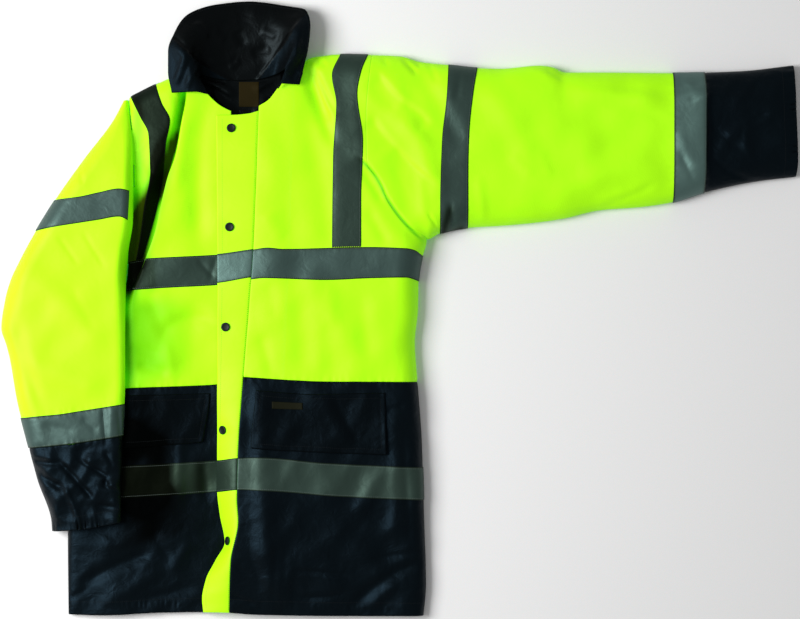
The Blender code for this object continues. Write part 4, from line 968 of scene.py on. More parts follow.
def ring(down, across, upper, lower, turn=False):
    """Tube between two edge lines; v is 0 on the first edge, 1 on the other, 2 on the first."""
    down, across = curves(*down), curves(*across)

    def surface(u, v):
        v = v % 2
        f = np.where(v <= 1, v, 2 - v)
        x, y = crossing(down, across, f, u) if turn else crossing(down, across, u, f)
        up, low = upper(x, y), lower(x, y)
        pick = (v <= 1)[:, None]
        return np.where(pick, up[0], low[0]), np.where(pick, up[1], low[1])
    return surface


chest = panel(front_face, (SIDE_RIGHT, FLAP_SEAM), (ARMPIT, WAIST))
corner = chest(np.array([1.0]), np.array([0.0]))[0][0]
print(f"the arm pit's line meets the flap's seam at ({corner[0]:.0f}, {corner[1]:.0f})")

# %% [markdown]
# ## A sheet of cloth
#
# `cloth` makes every panel, tape and label.  A grid is made with Blender's own
# operator and laid on the surface, then extruded to its real thickness.  The grid is
# evenly spaced along the cloth, with extra lines close to the edges, where the
# fabric is turned and rounded.  A sewn edge dips into its seam and puckers a little.
# The UV map holds the distance along the cloth in metres, so the weave keeps its
# scale and follows every fold.

# %% Evenly spaced grid lines
EDGE_LINES = (0.0, 0.5, 1.2, 2.2, 3.6)      # distances from an edge, in millimetres


def run_along(points):
    """Distance along a run of points, 0 at the first one."""
    return np.concatenate([[0], np.cumsum(np.linalg.norm(np.diff(points, axis=0), axis=1))])


def way(surface, first, last, other, swap, samples):
    """Line numbers of u (v for a swap) from first to last, and how far along the cloth each is."""
    fine = np.linspace(first, last, samples)
    held = np.full(fine.shape, float(other))
    points = surface(held, fine)[0] if swap else surface(fine, held)[0]
    return fine, run_along(points)


def spaced(surface, first, last, spacing, other, swap=False, edges=True):
    """Line numbers from first to last, evenly spaced on the cloth, closer at both ends."""
    fine, run = way(surface, first, last, other, swap, samples=900)
    near = EDGE_LINES if edges else (0.0,)
    count = max(2, round((run[-1] - 2 * near[-1]) / spacing) + 1)
    places = np.concatenate([near[:-1], np.linspace(near[-1], run[-1] - near[-1], count),
                             run[-1] - np.array(near[-2::-1])])
    return np.interp(places, run, fine)


def spaced_v(surface, first, last, spacing, at_u, edges=True):
    """The same for the lines of v, measured along the line at_u."""
    return spaced(surface, first, last, spacing, at_u, swap=True, edges=edges)


print("lines in a turned edge:", len(EDGE_LINES))

# %% The sheet maker
SEAM_HALF = 0.18        # half the space between two sewn panels
TURN, TURN_SHARE, TURN_MOST = 1.6, 0.45, 0.9    # a turned edge: radius, share of its thickness, at most
SEAM_DIP, DIP_REACH = 0.8, 2.2                  # how deep and how wide a seam pulls the cloth in
PUCKER, PUCKER_REACH, PUCKER_PITCH = 0.22, 7, 11
cloth_pieces = {}


def edge_runs(points):
    """Distances along a grid of points: from its first line and to its last one."""
    step = np.linalg.norm(np.diff(points, axis=0), axis=2)
    run = np.concatenate([np.zeros((1, points.shape[1])), np.cumsum(step, axis=0)])
    return run, run[-1] - run


def inset(values, other, surface, seams, swap):
    """Move the first and last grid line in by half a seam where a seam is sewn there."""
    moved = np.repeat(values[:, None], len(other), axis=1)
    for end, inward, sewn in ((0, 1, seams[0]), (-1, -1, seams[1])):
        if sewn:
            here = np.full(other.shape, values[end])
            there = here + 0.01 * inward
            a, b = (surface(other, here)[0], surface(other, there)[0]) if swap else \
                   (surface(here, other)[0], surface(there, other)[0])
            moved[end] += inward * SEAM_HALF * 0.01 / np.linalg.norm(b - a, axis=1)
    return moved


def seam_shape(distance, along, sewn):
    """How far an edge that is sewn that hard dips, and how it puckers along the seam."""
    s = along * 2 * np.pi / PUCKER_PITCH
    pucker = np.sin(s + 1.2 * np.sin(0.37 * s)) * np.exp(-distance / PUCKER_REACH)
    return sewn * (-SEAM_DIP * np.exp(-distance / DIP_REACH) + PUCKER * pucker * smooth_step(distance / 3))


def cloth(node, surface, us, vs, low, high, looks, seams=(0, 0, 0, 0), closed=False, rise=None, rim=0):
    """A wall of cloth between the offsets low and high of a surface, on a grid of lines.

    seams says how hard each of the sides u first, u last, v first, v last is sewn, from
    0, a free edge, to 1; rise adds a height that depends on the distances from those
    four sides; rim is the material of the cut edges.
    """
    us, vs = np.array(us, float), np.array(vs, float)
    columns, rows = len(us), len(vs)
    u_grid = inset(us, vs, surface, seams[:2], swap=False)
    v_grid = inset(vs, us, surface, seams[2:], swap=True).T
    points, normals = surface(u_grid.ravel(), v_grid.ravel())
    points, normals = (a.reshape(columns, rows, 3) for a in (points, normals))
    from_u, to_u = edge_runs(points)
    from_v, to_v = (run.T for run in edge_runs(points.transpose(1, 0, 2)))
    shape = sum(seam_shape(d, s, sewn) for d, s, sewn in
                ((from_u, from_v, seams[0]), (to_u, from_v, seams[1]),
                 (from_v, from_u, seams[2]), (to_v, from_u, seams[3])))
    if rise:
        shape = shape + rise(from_u, to_u, from_v, to_v)
    sides = (from_u, to_u) if closed else (from_u, to_u, from_v, to_v)
    turned = min(TURN_SHARE * (high - low), TURN_MOST) * np.max(
        [(1 - np.clip(d / TURN, 0, 1)) ** 2 * (0.4 if sewn else 1) for d, sewn in zip(sides, seams)], axis=0)
    sewn_on = low > 0
    outer = points + normals * (high + shape - turned * (1.6 if sewn_on else 1))[..., None]
    inner = points + normals * (low + shape + turned * (0 if sewn_on else 1))[..., None]

    bm = bmesh.new()
    bmesh.ops.create_grid(bm, x_segments=columns - 1, y_segments=rows - 1, size=0.5)
    column_of = bm.verts.layers.int.new("column")
    row_of = bm.verts.layers.int.new("row")
    for vert in bm.verts:
        vert[column_of] = c = round((vert.co.x + 0.5) * (columns - 1))
        vert[row_of] = r = round((vert.co.y + 0.5) * (rows - 1))
        vert.co = outer[c, r]
    if closed:
        bmesh.ops.remove_doubles(bm, verts=bm.verts[:], dist=0.001)
    shell = set(bm.faces)
    walls = bmesh.ops.extrude_face_region(bm, geom=bm.faces[:])["geom"]
    for part in walls:
        if isinstance(part, bmesh.types.BMVert):
            part.co = inner[part[column_of], part[row_of]]
        elif isinstance(part, bmesh.types.BMFace):
            part.material_index = len(looks) - 1
            shell.add(part)
    for face in set(bm.faces) - shell:
        face.material_index = rim
    bmesh.ops.recalc_face_normals(bm, faces=bm.faces[:])
    if bm.calc_volume(signed=True) < 0:
        bmesh.ops.reverse_faces(bm, faces=bm.faces[:])
    made = finish_piece(f"{node}_cloth", bm, looks)
    lay_uv(made.data, from_u, from_v, rows)
    to_edge = {pulled_down: np.minimum(from_v, to_v), pulled_down_across: np.minimum(from_u, to_u)}.get(rise)
    lay_shade(made.data, SHADED if node.startswith(IN_SHADE) else (), LEAST_SHADE.get(node, 0), to_edge)
    area = np.linalg.norm(np.cross(np.diff(points, axis=0)[:, :-1], np.diff(points, axis=1)[:-1]), axis=2)
    cut = (from_u[-1].max(), from_v[:, -1].max(), area.sum())
    cloth_pieces[node] = (made, cut)
    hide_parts(node)
    print(f"{made.name}: {len(made.data.polygons) * 2} triangles, cut {cut[0]:.0f} x {cut[1]:.0f} mm, "
          f"{cut[2] / 100:.0f} cm2")
    return made


def read(data, field, count, kind=np.int32):
    values = np.empty(count, kind)
    data.foreach_get(field, values)
    return values


def lay_shade(mesh, table, least, to_edge=None):
    """Attribute "shade" of painted shade: 1 deep in a fold, high on a tape's stitched edge, else the least.
    """
    place = read(mesh.vertices, "co", len(mesh.vertices) * 3, np.float32)
    x, y = place[0::3] / MM + CENTRE[0], place[1::3] / MM + CENTRE[1]
    shade = crease_height(table, x, y) + least
    if to_edge is not None:
        column, row = (read(mesh.attributes[name].data, "value", len(x)) for name in ("column", "row"))
        shade = np.maximum(shade, TAPE_EDGE * np.exp(-(to_edge[column, row] / TAPE_EDGE_WIDTH) ** 2))
    values = np.clip(shade, 0, 1).astype(np.float32)
    mesh.attributes.new("shade", "FLOAT", "POINT").data.foreach_set("value", values)


def lay_uv(mesh, from_u, from_v, rows):
    """UV map "cloth": the distance along the cloth in metres."""
    corner = read(mesh.loops, "vertex_index", len(mesh.loops))
    column = read(mesh.attributes["column"].data, "value", len(mesh.vertices))[corner]
    row = read(mesh.attributes["row"].data, "value", len(mesh.vertices))[corner]
    first = read(mesh.polygons, "loop_start", len(mesh.polygons))
    face = np.repeat(np.arange(len(first)), read(mesh.polygons, "loop_total", len(first)))
    high, low = np.maximum.reduceat(row, first)[face], np.minimum.reduceat(row, first)[face]
    across = high - low > 1            # a face that joins the last row of a tube to its first one
    row = np.where(across & (high == rows - 1) & (row == high), 0, row)
    row = np.where(across & (high < rows - 1) & (row == 0), rows - 1, row)
    uv = np.stack([from_u[column, row], from_v[column, row]], 1) * MM
    mesh.uv_layers.new(name="cloth").data.foreach_set("uv", uv.astype(np.float32).ravel())


def finish_piece(name, bm, looks):
    """Turn a bmesh in the cut's millimetres into a named piece that rides on the jacket."""
    bm.transform(Matrix.Translation((-CENTRE[0] * MM, -CENTRE[1] * MM, 0)) @ Matrix.Scale(MM, 4))
    mesh = bpy.data.meshes.new(name)
    bm.to_mesh(mesh)
    bm.free()
    for look in looks:
        mesh.materials.append(look)
    mesh.shade_smooth()
    mesh.set_sharp_from_angle(angle=1.0)
    made = bpy.data.objects.new(name, mesh)
    bpy.context.scene.collection.objects.link(made)
    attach(made, "root")
    return made

# %% Walls of cloth, and tapes on them
GROOVE, GROOVE_IN, GROOVE_WIDTH = 0.3, 2.5, 1.1     # stitches pull a tape down that deep, so far in
OVER = (SEAM, SEAM + TAPE)                          # a tape on its panel


def groove(distance):
    return -GROOVE * np.exp(-((distance - GROOVE_IN) / GROOVE_WIDTH) ** 2)


def pulled_down(from_u, to_u, from_v, to_v):
    """A tape that runs along u is pulled down by its stitches along both v sides."""
    return groove(from_v) + groove(to_v)


def pulled_down_across(from_u, to_u, from_v, to_v):
    return groove(from_u) + groove(to_u)


def wall(node, surface, us, vs, outside, **more):
    """A wall of the shell, with the lining as its inner face."""
    cloth(node, surface, us, vs, -CLOTH, 0, [outside, lining_cloth], **more)


def tape(node, surface, us, vs, look=tape_cloth, across=False, **more):
    """A tape on its panel, which runs along u, or across it."""
    cloth(node, surface, us, vs, *OVER, [look], rise=pulled_down_across if across else pulled_down, **more)


print("a tape lies from", OVER[0], "to", OVER[1], "mm over its panel")

# %% [markdown]
# ## The back
#
# The back lies face down on the table, so it is flat, turned up a little at its
# edges, with its tapes between it and the table.  It is cut as a yellow upper part
# and a navy skirt joined at the waist.  Nobody sees its middle, so a coarser grid is
# enough; a few shallow hollows lift off the table as slack cloth does.

# %% Back panels and their tapes
BACK, BACK_TAPE, FRONT, TAPED = 5.5, 6, 3.1, 3.2        # millimetres between grid lines, by part
SLEEVE, FOLDED, CUFF, FOLDED_CUFF = 3.6, 3.2, 3, 2.8
POCKET, FLAP, COLLAR_ACROSS, COLLAR_UP, IN_NECK = 2.6, 2.4, 2.6, 2.4, 2
back_top = panel(back_face, (SIDE_RIGHT, BACK_BRACE_RIGHT_OUT, BACK_BRACE_RIGHT_IN, FLAP_SEAM,
                             BRACE_LEFT_IN, BRACE_LEFT_OUT, SIDE_LEFT),
                 (BACK_TOP, ARMPIT, CHEST_TOP, CHEST_END, BACK_WAIST))
back_skirt = panel(back_face, (SIDE_RIGHT, FLAP_SEAM, SIDE_LEFT),
                   (BACK_WAIST, HEM_TAPE_TOP, HEM_TAPE_END, HEM))
top_us = spaced(back_top, 0, 6, BACK, 1.5)
skirt_us = spaced(back_skirt, 0, 2, BACK, 1.5)
wall("back_yellow", back_top, top_us, spaced_v(back_top, 0, 4, BACK, 3), yellow_cloth,
     seams=(0, 0, 0, 1), rim=1)
wall("back_navy", back_skirt, skirt_us, spaced_v(back_skirt, 0, 3, BACK, 1), navy_cloth,
     seams=(0, 0, 1, 0))
tape("back_chest_tape", back_top, top_us, spaced_v(back_top, 2, 3, BACK_TAPE, 3))
tape("back_hem_tape", back_skirt, skirt_us, spaced_v(back_skirt, 1, 2, BACK_TAPE, 1))
brace_vs = spaced_v(back_top, 0, 2, BACK, 3)
for node, first in (("back_brace_tape_right", 1), ("back_brace_tape_left", 4)):
    tape(node, back_top, spaced(back_top, first, first + 1, BACK_TAPE, 1.5), brace_vs, across=True,
         seams=(0, 0, 0, 1))

# %% [markdown]
# ## The left front
#
# The left front is the large smooth side of the jacket: a yellow upper part and a
# navy skirt, with a chest tape, a shoulder brace tape that ends on the chest tape and
# a hem tape.  The tapes use the same surface as the panels, moved out along its
# normals, so every crease runs on through them.

# %% Left front: panels and tapes
TOP_ACROSS = (FRONT_TOP, ARMPIT, CHEST_TOP, CHEST_END, WAIST)
SKIRT_ACROSS = (WAIST, POCKET_TOP, LABEL_TOP, LABEL_FOOT, POCKET_END, HEM_TAPE_TOP, HEM_TAPE_END, HEM)

left_top = panel(front_face, (FLAP_SEAM, BRACE_LEFT_IN, BRACE_LEFT_OUT, SIDE_LEFT),
                 TOP_ACROSS[:4] + (LEFT_WAIST,))
left_skirt = panel(front_face, (FLAP_SEAM, POCKET_LEFT_IN, LABEL_START, LABEL_END, POCKET_LEFT_OUT,
                                SIDE_LEFT), (LEFT_WAIST,) + SKIRT_ACROSS[1:])
left_us = spaced(left_top, 0, 3, FRONT, 2)
left_skirt_us = spaced(left_skirt, 0, 5, FRONT, 3)
wall("front_left_yellow", left_top, left_us, spaced_v(left_top, 0, 4, FRONT, 1.5), yellow_cloth,
     seams=(1, 0.1, 0, 1))
wall("front_left_navy", left_skirt, left_skirt_us, spaced_v(left_skirt, 0, 7, FRONT, 3), navy_cloth,
     seams=(1, 0, 1, 0))
tape("front_left_brace_tape", left_top, spaced(left_top, 1, 2, TAPED, 1),
     spaced_v(left_top, 0, 2, TAPED, 1.5), tape_painted_shade, across=True, seams=(0, 0, 0, 1))
tape("front_left_chest_tape", left_top, left_us, spaced_v(left_top, 2, 3, TAPED, 1),
     seams=(1, 0, 1, 0))
tape("front_left_hem_tape", left_skirt, left_skirt_us, spaced_v(left_skirt, 5, 6, TAPED, 3),
     seams=(1, 0, 0, 0))

# %% [markdown]
# ## Pocket flaps
#
# A pocket flap is two layers of the navy cloth turned inside out and stitched 8 mm
# from its edge.  It is sewn only along its top, so its lower edge stands a few
# millimetres off the skirt and throws the thin shadow that lets it be seen at all.

# %% Left pocket flap and its bare label
POCKET_LIFT, BORDER = 4.2, 8.0          # how far the lower edge lifts; its stitches' distance from the edge
CURL, RIPPLE, RIPPLE_PITCH = 22, 0.5, 17    # reach of a corner's curl; ripples of the lower edge
LABEL_LIFT, LABEL_ACROSS, LABEL_UP = 0.5, 2.2, 1.6      # over the flap; its grid spacings


def flap_lift(from_u, to_u, from_v, to_v):
    """The lower edge lifts, most at its corners; its stitches make a shallow groove."""
    hang = smooth_step(from_v / (from_v + to_v + 1e-9))
    curl = np.exp(-to_u / CURL) + 0.5 * np.exp(-from_u / CURL)
    border = np.minimum(np.minimum(from_u, to_u), to_v)
    wave = RIPPLE * np.sin(from_u / RIPPLE_PITCH) * hang
    return POCKET_LIFT * hang * (0.35 + 0.65 * curl) + wave - 0.5 * np.exp(-((border - BORDER) / 1.5) ** 2)


# the left pocket flap takes painted shade, darker all over
cloth("pocket_flap_left", left_skirt, spaced(left_skirt, 1, 4, POCKET, 3),
      spaced_v(left_skirt, 1, 4, POCKET, 3), SEAM, SEAM + POCKET_CLOTH, [navy_painted_shade], rise=flap_lift)
label_under = 2 * SEAM + POCKET_CLOTH + LABEL_LIFT
cloth("pocket_label", left_skirt, spaced(left_skirt, 2, 3, LABEL_ACROSS, 2.5),
      spaced_v(left_skirt, 2, 3, LABEL_UP, 2.5), label_under, label_under + TAPE, [patch_cloth])

# %% [markdown]
# ## The right front
#
# The right front dips into the valley beside the folded sleeve and goes on under the
# storm flap.  Its brace tape runs down that valley, where a hard crease takes it in.

# %% Right front: panels, tapes and pocket flap
UNDER_FLAP, TAPE_UNDER_FLAP = 0.35, 0.2
right_top = panel(right_front_face, (SIDE_RIGHT, BRACE_RIGHT_OUT, BRACE_RIGHT_IN, CREST, FLAP_FREE,
                                     FLAP_SEAM), TOP_ACROSS)
right_skirt = panel(right_front_face, (SIDE_RIGHT, POCKET_RIGHT_OUT, POCKET_RIGHT_IN, FLAP_FREE,
                                       FLAP_SEAM), SKIRT_ACROSS)
# the right front's cloth, tapes and pocket flap take painted shade, darkest in the valley
wall("front_right_yellow", right_top, spaced(right_top, 0, 4 + UNDER_FLAP, FRONT, 1),
     spaced_v(right_top, 0, 4, FRONT, 3), yellow_painted_shade, seams=(0, 0, 0, 1))
wall("front_right_navy", right_skirt, spaced(right_skirt, 0, 3 + UNDER_FLAP, FRONT, 3),
     spaced_v(right_skirt, 0, 7, FRONT, 1), navy_painted_shade, seams=(0, 0, 1, 0))
tape("front_right_brace_tape", right_top, spaced(right_top, 1, 2, TAPED, 1),
     spaced_v(right_top, 0, 2, TAPED, 1.5), tape_painted_shade, across=True, seams=(0, 0, 0, 1))
tape("front_right_chest_tape", right_top, spaced(right_top, 0, 4 + TAPE_UNDER_FLAP, TAPED, 2.5),
     spaced_v(right_top, 2, 3, TAPED, 3), tape_painted_shade, seams=(0, 0, 1, 0))
tape("front_right_hem_tape", right_skirt, spaced(right_skirt, 0, 3 + TAPE_UNDER_FLAP, TAPED, 5.5),
     spaced_v(right_skirt, 5, 6, TAPED, 1), tape_painted_shade)
cloth("pocket_flap_right", right_skirt, spaced(right_skirt, 1, 2, POCKET, 3),
      spaced_v(right_skirt, 1, 4, POCKET, 1.5), SEAM, SEAM + POCKET_CLOTH, [navy_painted_shade],
      rise=flap_lift)

# %% [markdown]
# ## The storm flap
#
# A strip of yellow cloth, folded double and sewn to the left front, covers the zip
# and closes with five press studs.  At the foot it tips over to the left and shows
# how the skirt spreads.

# %% Storm flap and its tapes
flap = panel(flap_face, (FLAP_FREE, FLAP_SEAM),
             (FLAP_TOP, ARMPIT, CHEST_TOP, CHEST_END, WAIST, HEM_TAPE_TOP, HEM_TAPE_END, HEM))
flap_us = spaced(flap, 0, 1, FLAP, 3)
cloth("storm_flap", flap, flap_us, spaced_v(flap, 0, 7, FRONT, 0.5), -CLOTH, 0, [yellow_cloth],
      seams=(0, 1, 0, 0))
# the flap's chest tape is the lighter copy, with painted light
tape("flap_chest_tape", flap, flap_us, spaced_v(flap, 1.965, 2.93, TAPED, 0.5), tape_painted_light,
     seams=(0, 1, 0, 0))
tape("flap_hem_tape", flap, flap_us, spaced_v(flap, 5, 6, TAPED, 0.5), tape_painted_shade,
     seams=(0, 1, 0, 0))

# %% [markdown]
# ## The sleeves
#
# Each sleeve is one tube.  Its yellow part and its navy cuff are walls between two
# rings of the same tube, closed all round, with the lining as their inner face.  The
# arm tape of the folded sleeve ends at the valley beside the body, because the cloth
# behind it is pressed flat there.

# %% Stretched left sleeve
left_sleeve = ring((SIDE_LEFT, ARM_TAPE_IN, ARM_TAPE_OUT, ELBOW, CUFF_TAPE_IN, CUFF_TAPE_OUT, CUFF_END),
                   (FRONT_TOP, ARMPIT), lambda x, y: front_face(x, y, RING_EDGE),
                   lambda x, y: back_face(x, y, RING_EDGE))
left_around = spaced_v(left_sleeve, 0, 2, SLEEVE, 3, edges=False)
wall("sleeve_left_yellow", left_sleeve, spaced(left_sleeve, 0, 5, SLEEVE, 0.5), left_around,
     yellow_cloth, seams=(0.1, 1, 0, 0), closed=True)
wall("sleeve_left_navy", left_sleeve, spaced(left_sleeve, 5, 6, CUFF, 0.5), left_around, navy_cloth,
     seams=(1, 0, 0, 0), closed=True)
# painted shade on the arm tape, painted light on the cuff tape
for node, first, look in (("sleeve_left_arm_tape", 1, tape_painted_shade), ("sleeve_left_cuff_tape", 4, tape_painted_light)):
    tape(node, left_sleeve, spaced(left_sleeve, first, first + 1, TAPED, 0.5), left_around, look,
         across=True, closed=True)

# %% Folded right sleeve
folded_sleeve = ring((FOLD_EDGE_OUT, FOLD_EDGE_IN),
                     (FOLD_HEAD, FOLD_ARM_TOP, FOLD_ARM_END, FOLD_ELBOW, FOLD_CUFF_TOP, FOLD_CUFF_END,
                      FOLD_END),
                     lambda x, y: fold_face(x, y, 1), lambda x, y: fold_face(x, y, -1), turn=True)
folded_around = spaced_v(folded_sleeve, 0, 2, FOLDED, 3, edges=False)
wall("sleeve_right_yellow", folded_sleeve, spaced(folded_sleeve, 0, 5, FOLDED, 0.5), folded_around,
     yellow_cloth, seams=(0, 1, 0, 0), closed=True)
wall("sleeve_right_navy", folded_sleeve, spaced(folded_sleeve, 5, 6, FOLDED_CUFF, 0.5), folded_around,
     navy_cloth, seams=(1, 0, 0, 0), closed=True)
tape("sleeve_right_arm_tape", folded_sleeve, spaced(folded_sleeve, 1, 2, TAPED, 0.5),
     spaced_v(folded_sleeve, 1.1726, 2.955, TAPED, 1.5), across=True)
tape("sleeve_right_cuff_tape", folded_sleeve, spaced(folded_sleeve, 4, 5, TAPED, 0.5),
     folded_around, across=True, closed=True)

# %% [markdown]
# ## Collar, lining and labels
#
# The collar is two layers of navy cloth with wadding between, opened out so that its
# inner side shows.  The black satin lining of the back shows in the neck, with a
# woven label and a size tab; both are left bare.

# %% Collar
collar_us = spaced(collar_face, 0, len(COLLAR_RIBS) - 1, COLLAR_ACROSS, 1.5)
collar_vs = spaced_v(collar_face, 0, 2, COLLAR_UP, 6)
# the collar's navy takes painted shade, darker all over
collar = cloth("collar", collar_face, collar_us, collar_vs, -COLLAR_CLOTH, 0, [navy_painted_shade, lining_cloth])
wing_right, wing_left = curves(WING_RIGHT, WING_LEFT)
for face in collar.data.polygons:
    x, y = face.center.x / MM + CENTRE[0], face.center.y / MM + CENTRE[1]
    inside = wing_right(y) < x < wing_left(y) and face.normal.z > 0.1
    face.material_index = 1 if inside else 0

# %% Lining in the neck, label and size tab
NECK_LINING = (-318, -190, 288, 0)      # left, right, foot and top; the lining's top follows the back
NECK_LABEL, SIZE_TAB = (-259, -227, 326, 366), (-258, -240, 300, 321)
LINING_FOLDS = (
    (-312, 372, -267, 345, 0, 7, 5), (-300, 350, -270, 320, 3, 6, 3), (-205, 378, -232, 352, 0, 7, 4),
    (-290, 372, -262, 366, 0, 6, 3), (-215, 340, -236, 312, 0, 6, 2.5), (-306, 330, -280, 296, 0, 7, 2.5),
)
lining_floor = FLAT + CLOTH + SEAM
label_floor = lining_floor + LINING + SEAM
lining_top = curve([(x, y - SEAM) for x, y in BACK_TOP])


def flat_piece(sides, floor, top=None):
    """Surface of a small piece that lies level in the neck, with soft folds."""
    x0, x1, y0, y1 = sides

    def height(x, y):
        folds = np.maximum(crease_height(LINING_FOLDS, x, y), 0)
        return floor + folds * smooth_step((lining_top(x) - 6 - y) / 8)

    def surface(u, v):
        x = x0 + (x1 - x0) * u
        end = top(x) if top else y1
        return raised(height, x, end + (y0 - end) * v)
    return surface


for node, look, place in (("neck_lining", lining_cloth, (NECK_LINING, lining_floor, lining_top)),
                          ("neck_label", label_cloth, (NECK_LABEL, label_floor)),
                          ("size_tab", lining_cloth, (SIZE_TAB, label_floor))):
    flat = flat_piece(*place)
    cloth(node, flat, spaced(flat, 0, 1, IN_NECK, 0.5), spaced_v(flat, 0, 1, IN_NECK, 0.5), 0, LINING, [look])

# %% [markdown]
# ## Press studs
#
# A press stud's cap is a painted brass disc with a rolled rim and a slightly hollow
# middle.  A short profile is spun round its axis, with the last step merged into the
# first, and the cap is set square on the flap.

# %% Five stud caps
STUD_PROFILE = ((0, 1.9), (2.4, 1.95), (4.5, 2.2), (5.4, 2.55), (6.2, 2.5), (6.9, 2.0), (7.2, 1.2),
                (7.0, 0.4), (6.2, 0.0), (0, 0.0))      # radius and height in millimetres
stud_caps = []
for number, (stud_y, share, seat) in enumerate(STUDS, 1):
    stud_x, at = stud_place(stud_y, share)
    point, normal = flap_face(stud_x, at)
    bm = bmesh.new()
    ends = [bm.verts.new((r, 0, z + seat)) for r, z in STUD_PROFILE]
    edges = [bm.edges.new(pair) for pair in zip(ends[:-1], ends[1:])]
    bmesh.ops.spin(bm, geom=ends + edges, cent=(0, 0, 0), axis=(0, 0, 1), angle=math.tau, steps=40,
                   use_merge=True)
    bmesh.ops.remove_doubles(bm, verts=bm.verts[:], dist=0.001)
    bmesh.ops.recalc_face_normals(bm, faces=bm.faces[:])
    turn = Vector(normal[0]).to_track_quat("Z", "Y").to_matrix().to_4x4()
    bm.transform(Matrix.Translation(Vector(point[0])) @ turn)
    cap = finish_piece(f"press_stud_{number}_cap", bm, [stud_paint])
    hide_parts(f"press_stud_{number}")
    stud_caps.append(cap)
print("stud caps:", len(stud_caps), "with", len(stud_caps[0].data.polygons), "faces each")

# %% [markdown]
# ## Stitches
#
# Every seam on a work jacket is top-stitched: a row of 3 mm stitches beside each edge
# of a tape, round each pocket flap and along the hems.  A stitch is a small, long
# bead of thread that sinks at its two ends, so one low icosphere, stretched and
# turned along the seam, is enough.

# %% Rows of stitches
STITCH, STITCH_GAP, THREAD = 3.2, 1.0, 0.36      # pitch, space between, radius in mm
stitch_pieces = {}


def stitch_row(surface, us, vs, out):
    """Points and normals a stitch apart along a run of line numbers, out from the surface."""
    us, vs = np.broadcast_arrays(np.array(us, float), np.array(vs, float))
    fine = np.linspace(0, len(us) - 1, 80 * max(2, len(us)))
    u, v, high = (np.interp(fine, np.arange(len(us)), a) for a in (us, vs, np.broadcast_to(out, us.shape)))
    points, normals = surface(u, v)
    points = points + normals * high[:, None]
    run = run_along(points)
    places = np.arange(STITCH, run[-1] - STITCH / 2, STITCH)
    pick = lambda values: np.stack([np.interp(places, run, values[:, k]) for k in range(3)], 1)
    return pick(points), pick(normals)


def stitches(name, rows, on, look=grey_thread):
    """One piece for all the stitch rows of one thread on a panel; on is the sheet that carries it."""
    bm = bmesh.new()
    for points, normals in rows:
        for point, normal, along in zip(points, normals, np.gradient(points, axis=0)):
            x, z = Vector(along).normalized(), Vector(normal).normalized()
            y = z.cross(x).normalized()
            axes = Matrix((x * (STITCH - STITCH_GAP) / 2, y * THREAD, x.cross(y) * THREAD)).transposed()
            bmesh.ops.create_icosphere(bm, subdivisions=1, radius=1.0,
                                       matrix=Matrix.Translation(Vector(point)) @ axes.to_4x4())
    made = finish_piece(f"stitches_{name}", bm, [look])
    stitch_pieces.setdefault(on, []).append(made)
    print(f"{made.name}: {len(made.data.polygons) // 20} stitches")


TAPE_TOP, PANEL_TOP = SEAM + TAPE - 0.12, 0.12
IN, OUT = 2.5 / 50, 1 - 2.5 / 50        # a stitch row's place on a tape that is 50 mm wide


def two_rows(surface, first, ends, along_u=True):
    """Rows of stitches beside both edges of a tape between the lines first and first + 1."""
    rows = []
    for share in (IN, OUT):
        lines = (ends, [first + share] * len(ends))
        rows.append(stitch_row(surface, *(lines if along_u else lines[::-1]), TAPE_TOP))
    return rows


BRACE, ROUND = [0.02, 0.5, 1, 1.5, 1.99], [0, 0.5, 1, 1.5, 2]      # lines down a brace, round a sleeve
stitches("left_front_tapes",
         two_rows(left_top, 2, [0.01, 0.5, 1, 1.5, 2, 2.5, 2.995]) + two_rows(left_top, 1, BRACE, False)
         + two_rows(left_skirt, 5, [0.01, 1, 2, 3, 4, 4.5, 4.995]), "front_left_chest_tape")
stitches("right_front_tapes",
         two_rows(right_top, 2, [0.05, 1, 2, 3, 4]) + two_rows(right_skirt, 5, [0.02, 1, 2, 3]),
         "front_right_chest_tape")
# navy thread here, not grey: painted shade on the stitches down the valley
stitches("right_brace_tape", two_rows(right_top, 1, BRACE, False), "front_right_brace_tape", navy_thread)
stitches("flap_tapes", [row for first in (1.955, 5) for row in two_rows(flap, first, [0.03, 0.5, 0.97])],
         "flap_chest_tape")
stitches("left_sleeve_tapes", [row for first in (1, 4) for row in two_rows(left_sleeve, first, ROUND, False)],
         "sleeve_left_arm_tape")
stitches("right_sleeve_tapes",
         two_rows(folded_sleeve, 1, [1.2, 1.6, 2, 2.4, 2.94], False)
         + two_rows(folded_sleeve, 4, ROUND, False),
         "sleeve_right_arm_tape")
stitches("back_tapes",
         two_rows(back_top, 2, [0.05, 2, 4, 5.95]) + two_rows(back_skirt, 1, [0.02, 1, 1.98])
         + [row for first in (1, 4) for row in two_rows(back_top, first, [0.05, 1, 1.95], False)],
         "back_chest_tape")

# %% Stitches on the cloth itself
FLAP_INSIDE, FLAP_SEAM_IN = 0.14, 0.955
stitches("storm_flap",
         [stitch_row(flap, [across] * 4, [a + 0.02, a + 0.3, b - 0.3, b - 0.02], PANEL_TOP)
          for across in (FLAP_INSIDE, FLAP_SEAM_IN) for a, b in ((0, 2), (3, 5), (6, 7))],
         "storm_flap", yellow_thread)
stitches("left_sleeve_end", [stitch_row(left_sleeve, [5.86] * 5, ROUND, PANEL_TOP)],
         "sleeve_left_navy", navy_thread)
POCKET_OUT = SEAM + POCKET_CLOTH + 0.35      # a stitch over the flap's surface


def shares(surface, first, last, other, parts, swap=False):
    """Line numbers at shares of the way from first to last, and the length of that way."""
    fine, run = way(surface, first, last, other, swap, samples=400)
    return np.interp(np.array(parts) * run[-1], run, fine), run[-1]


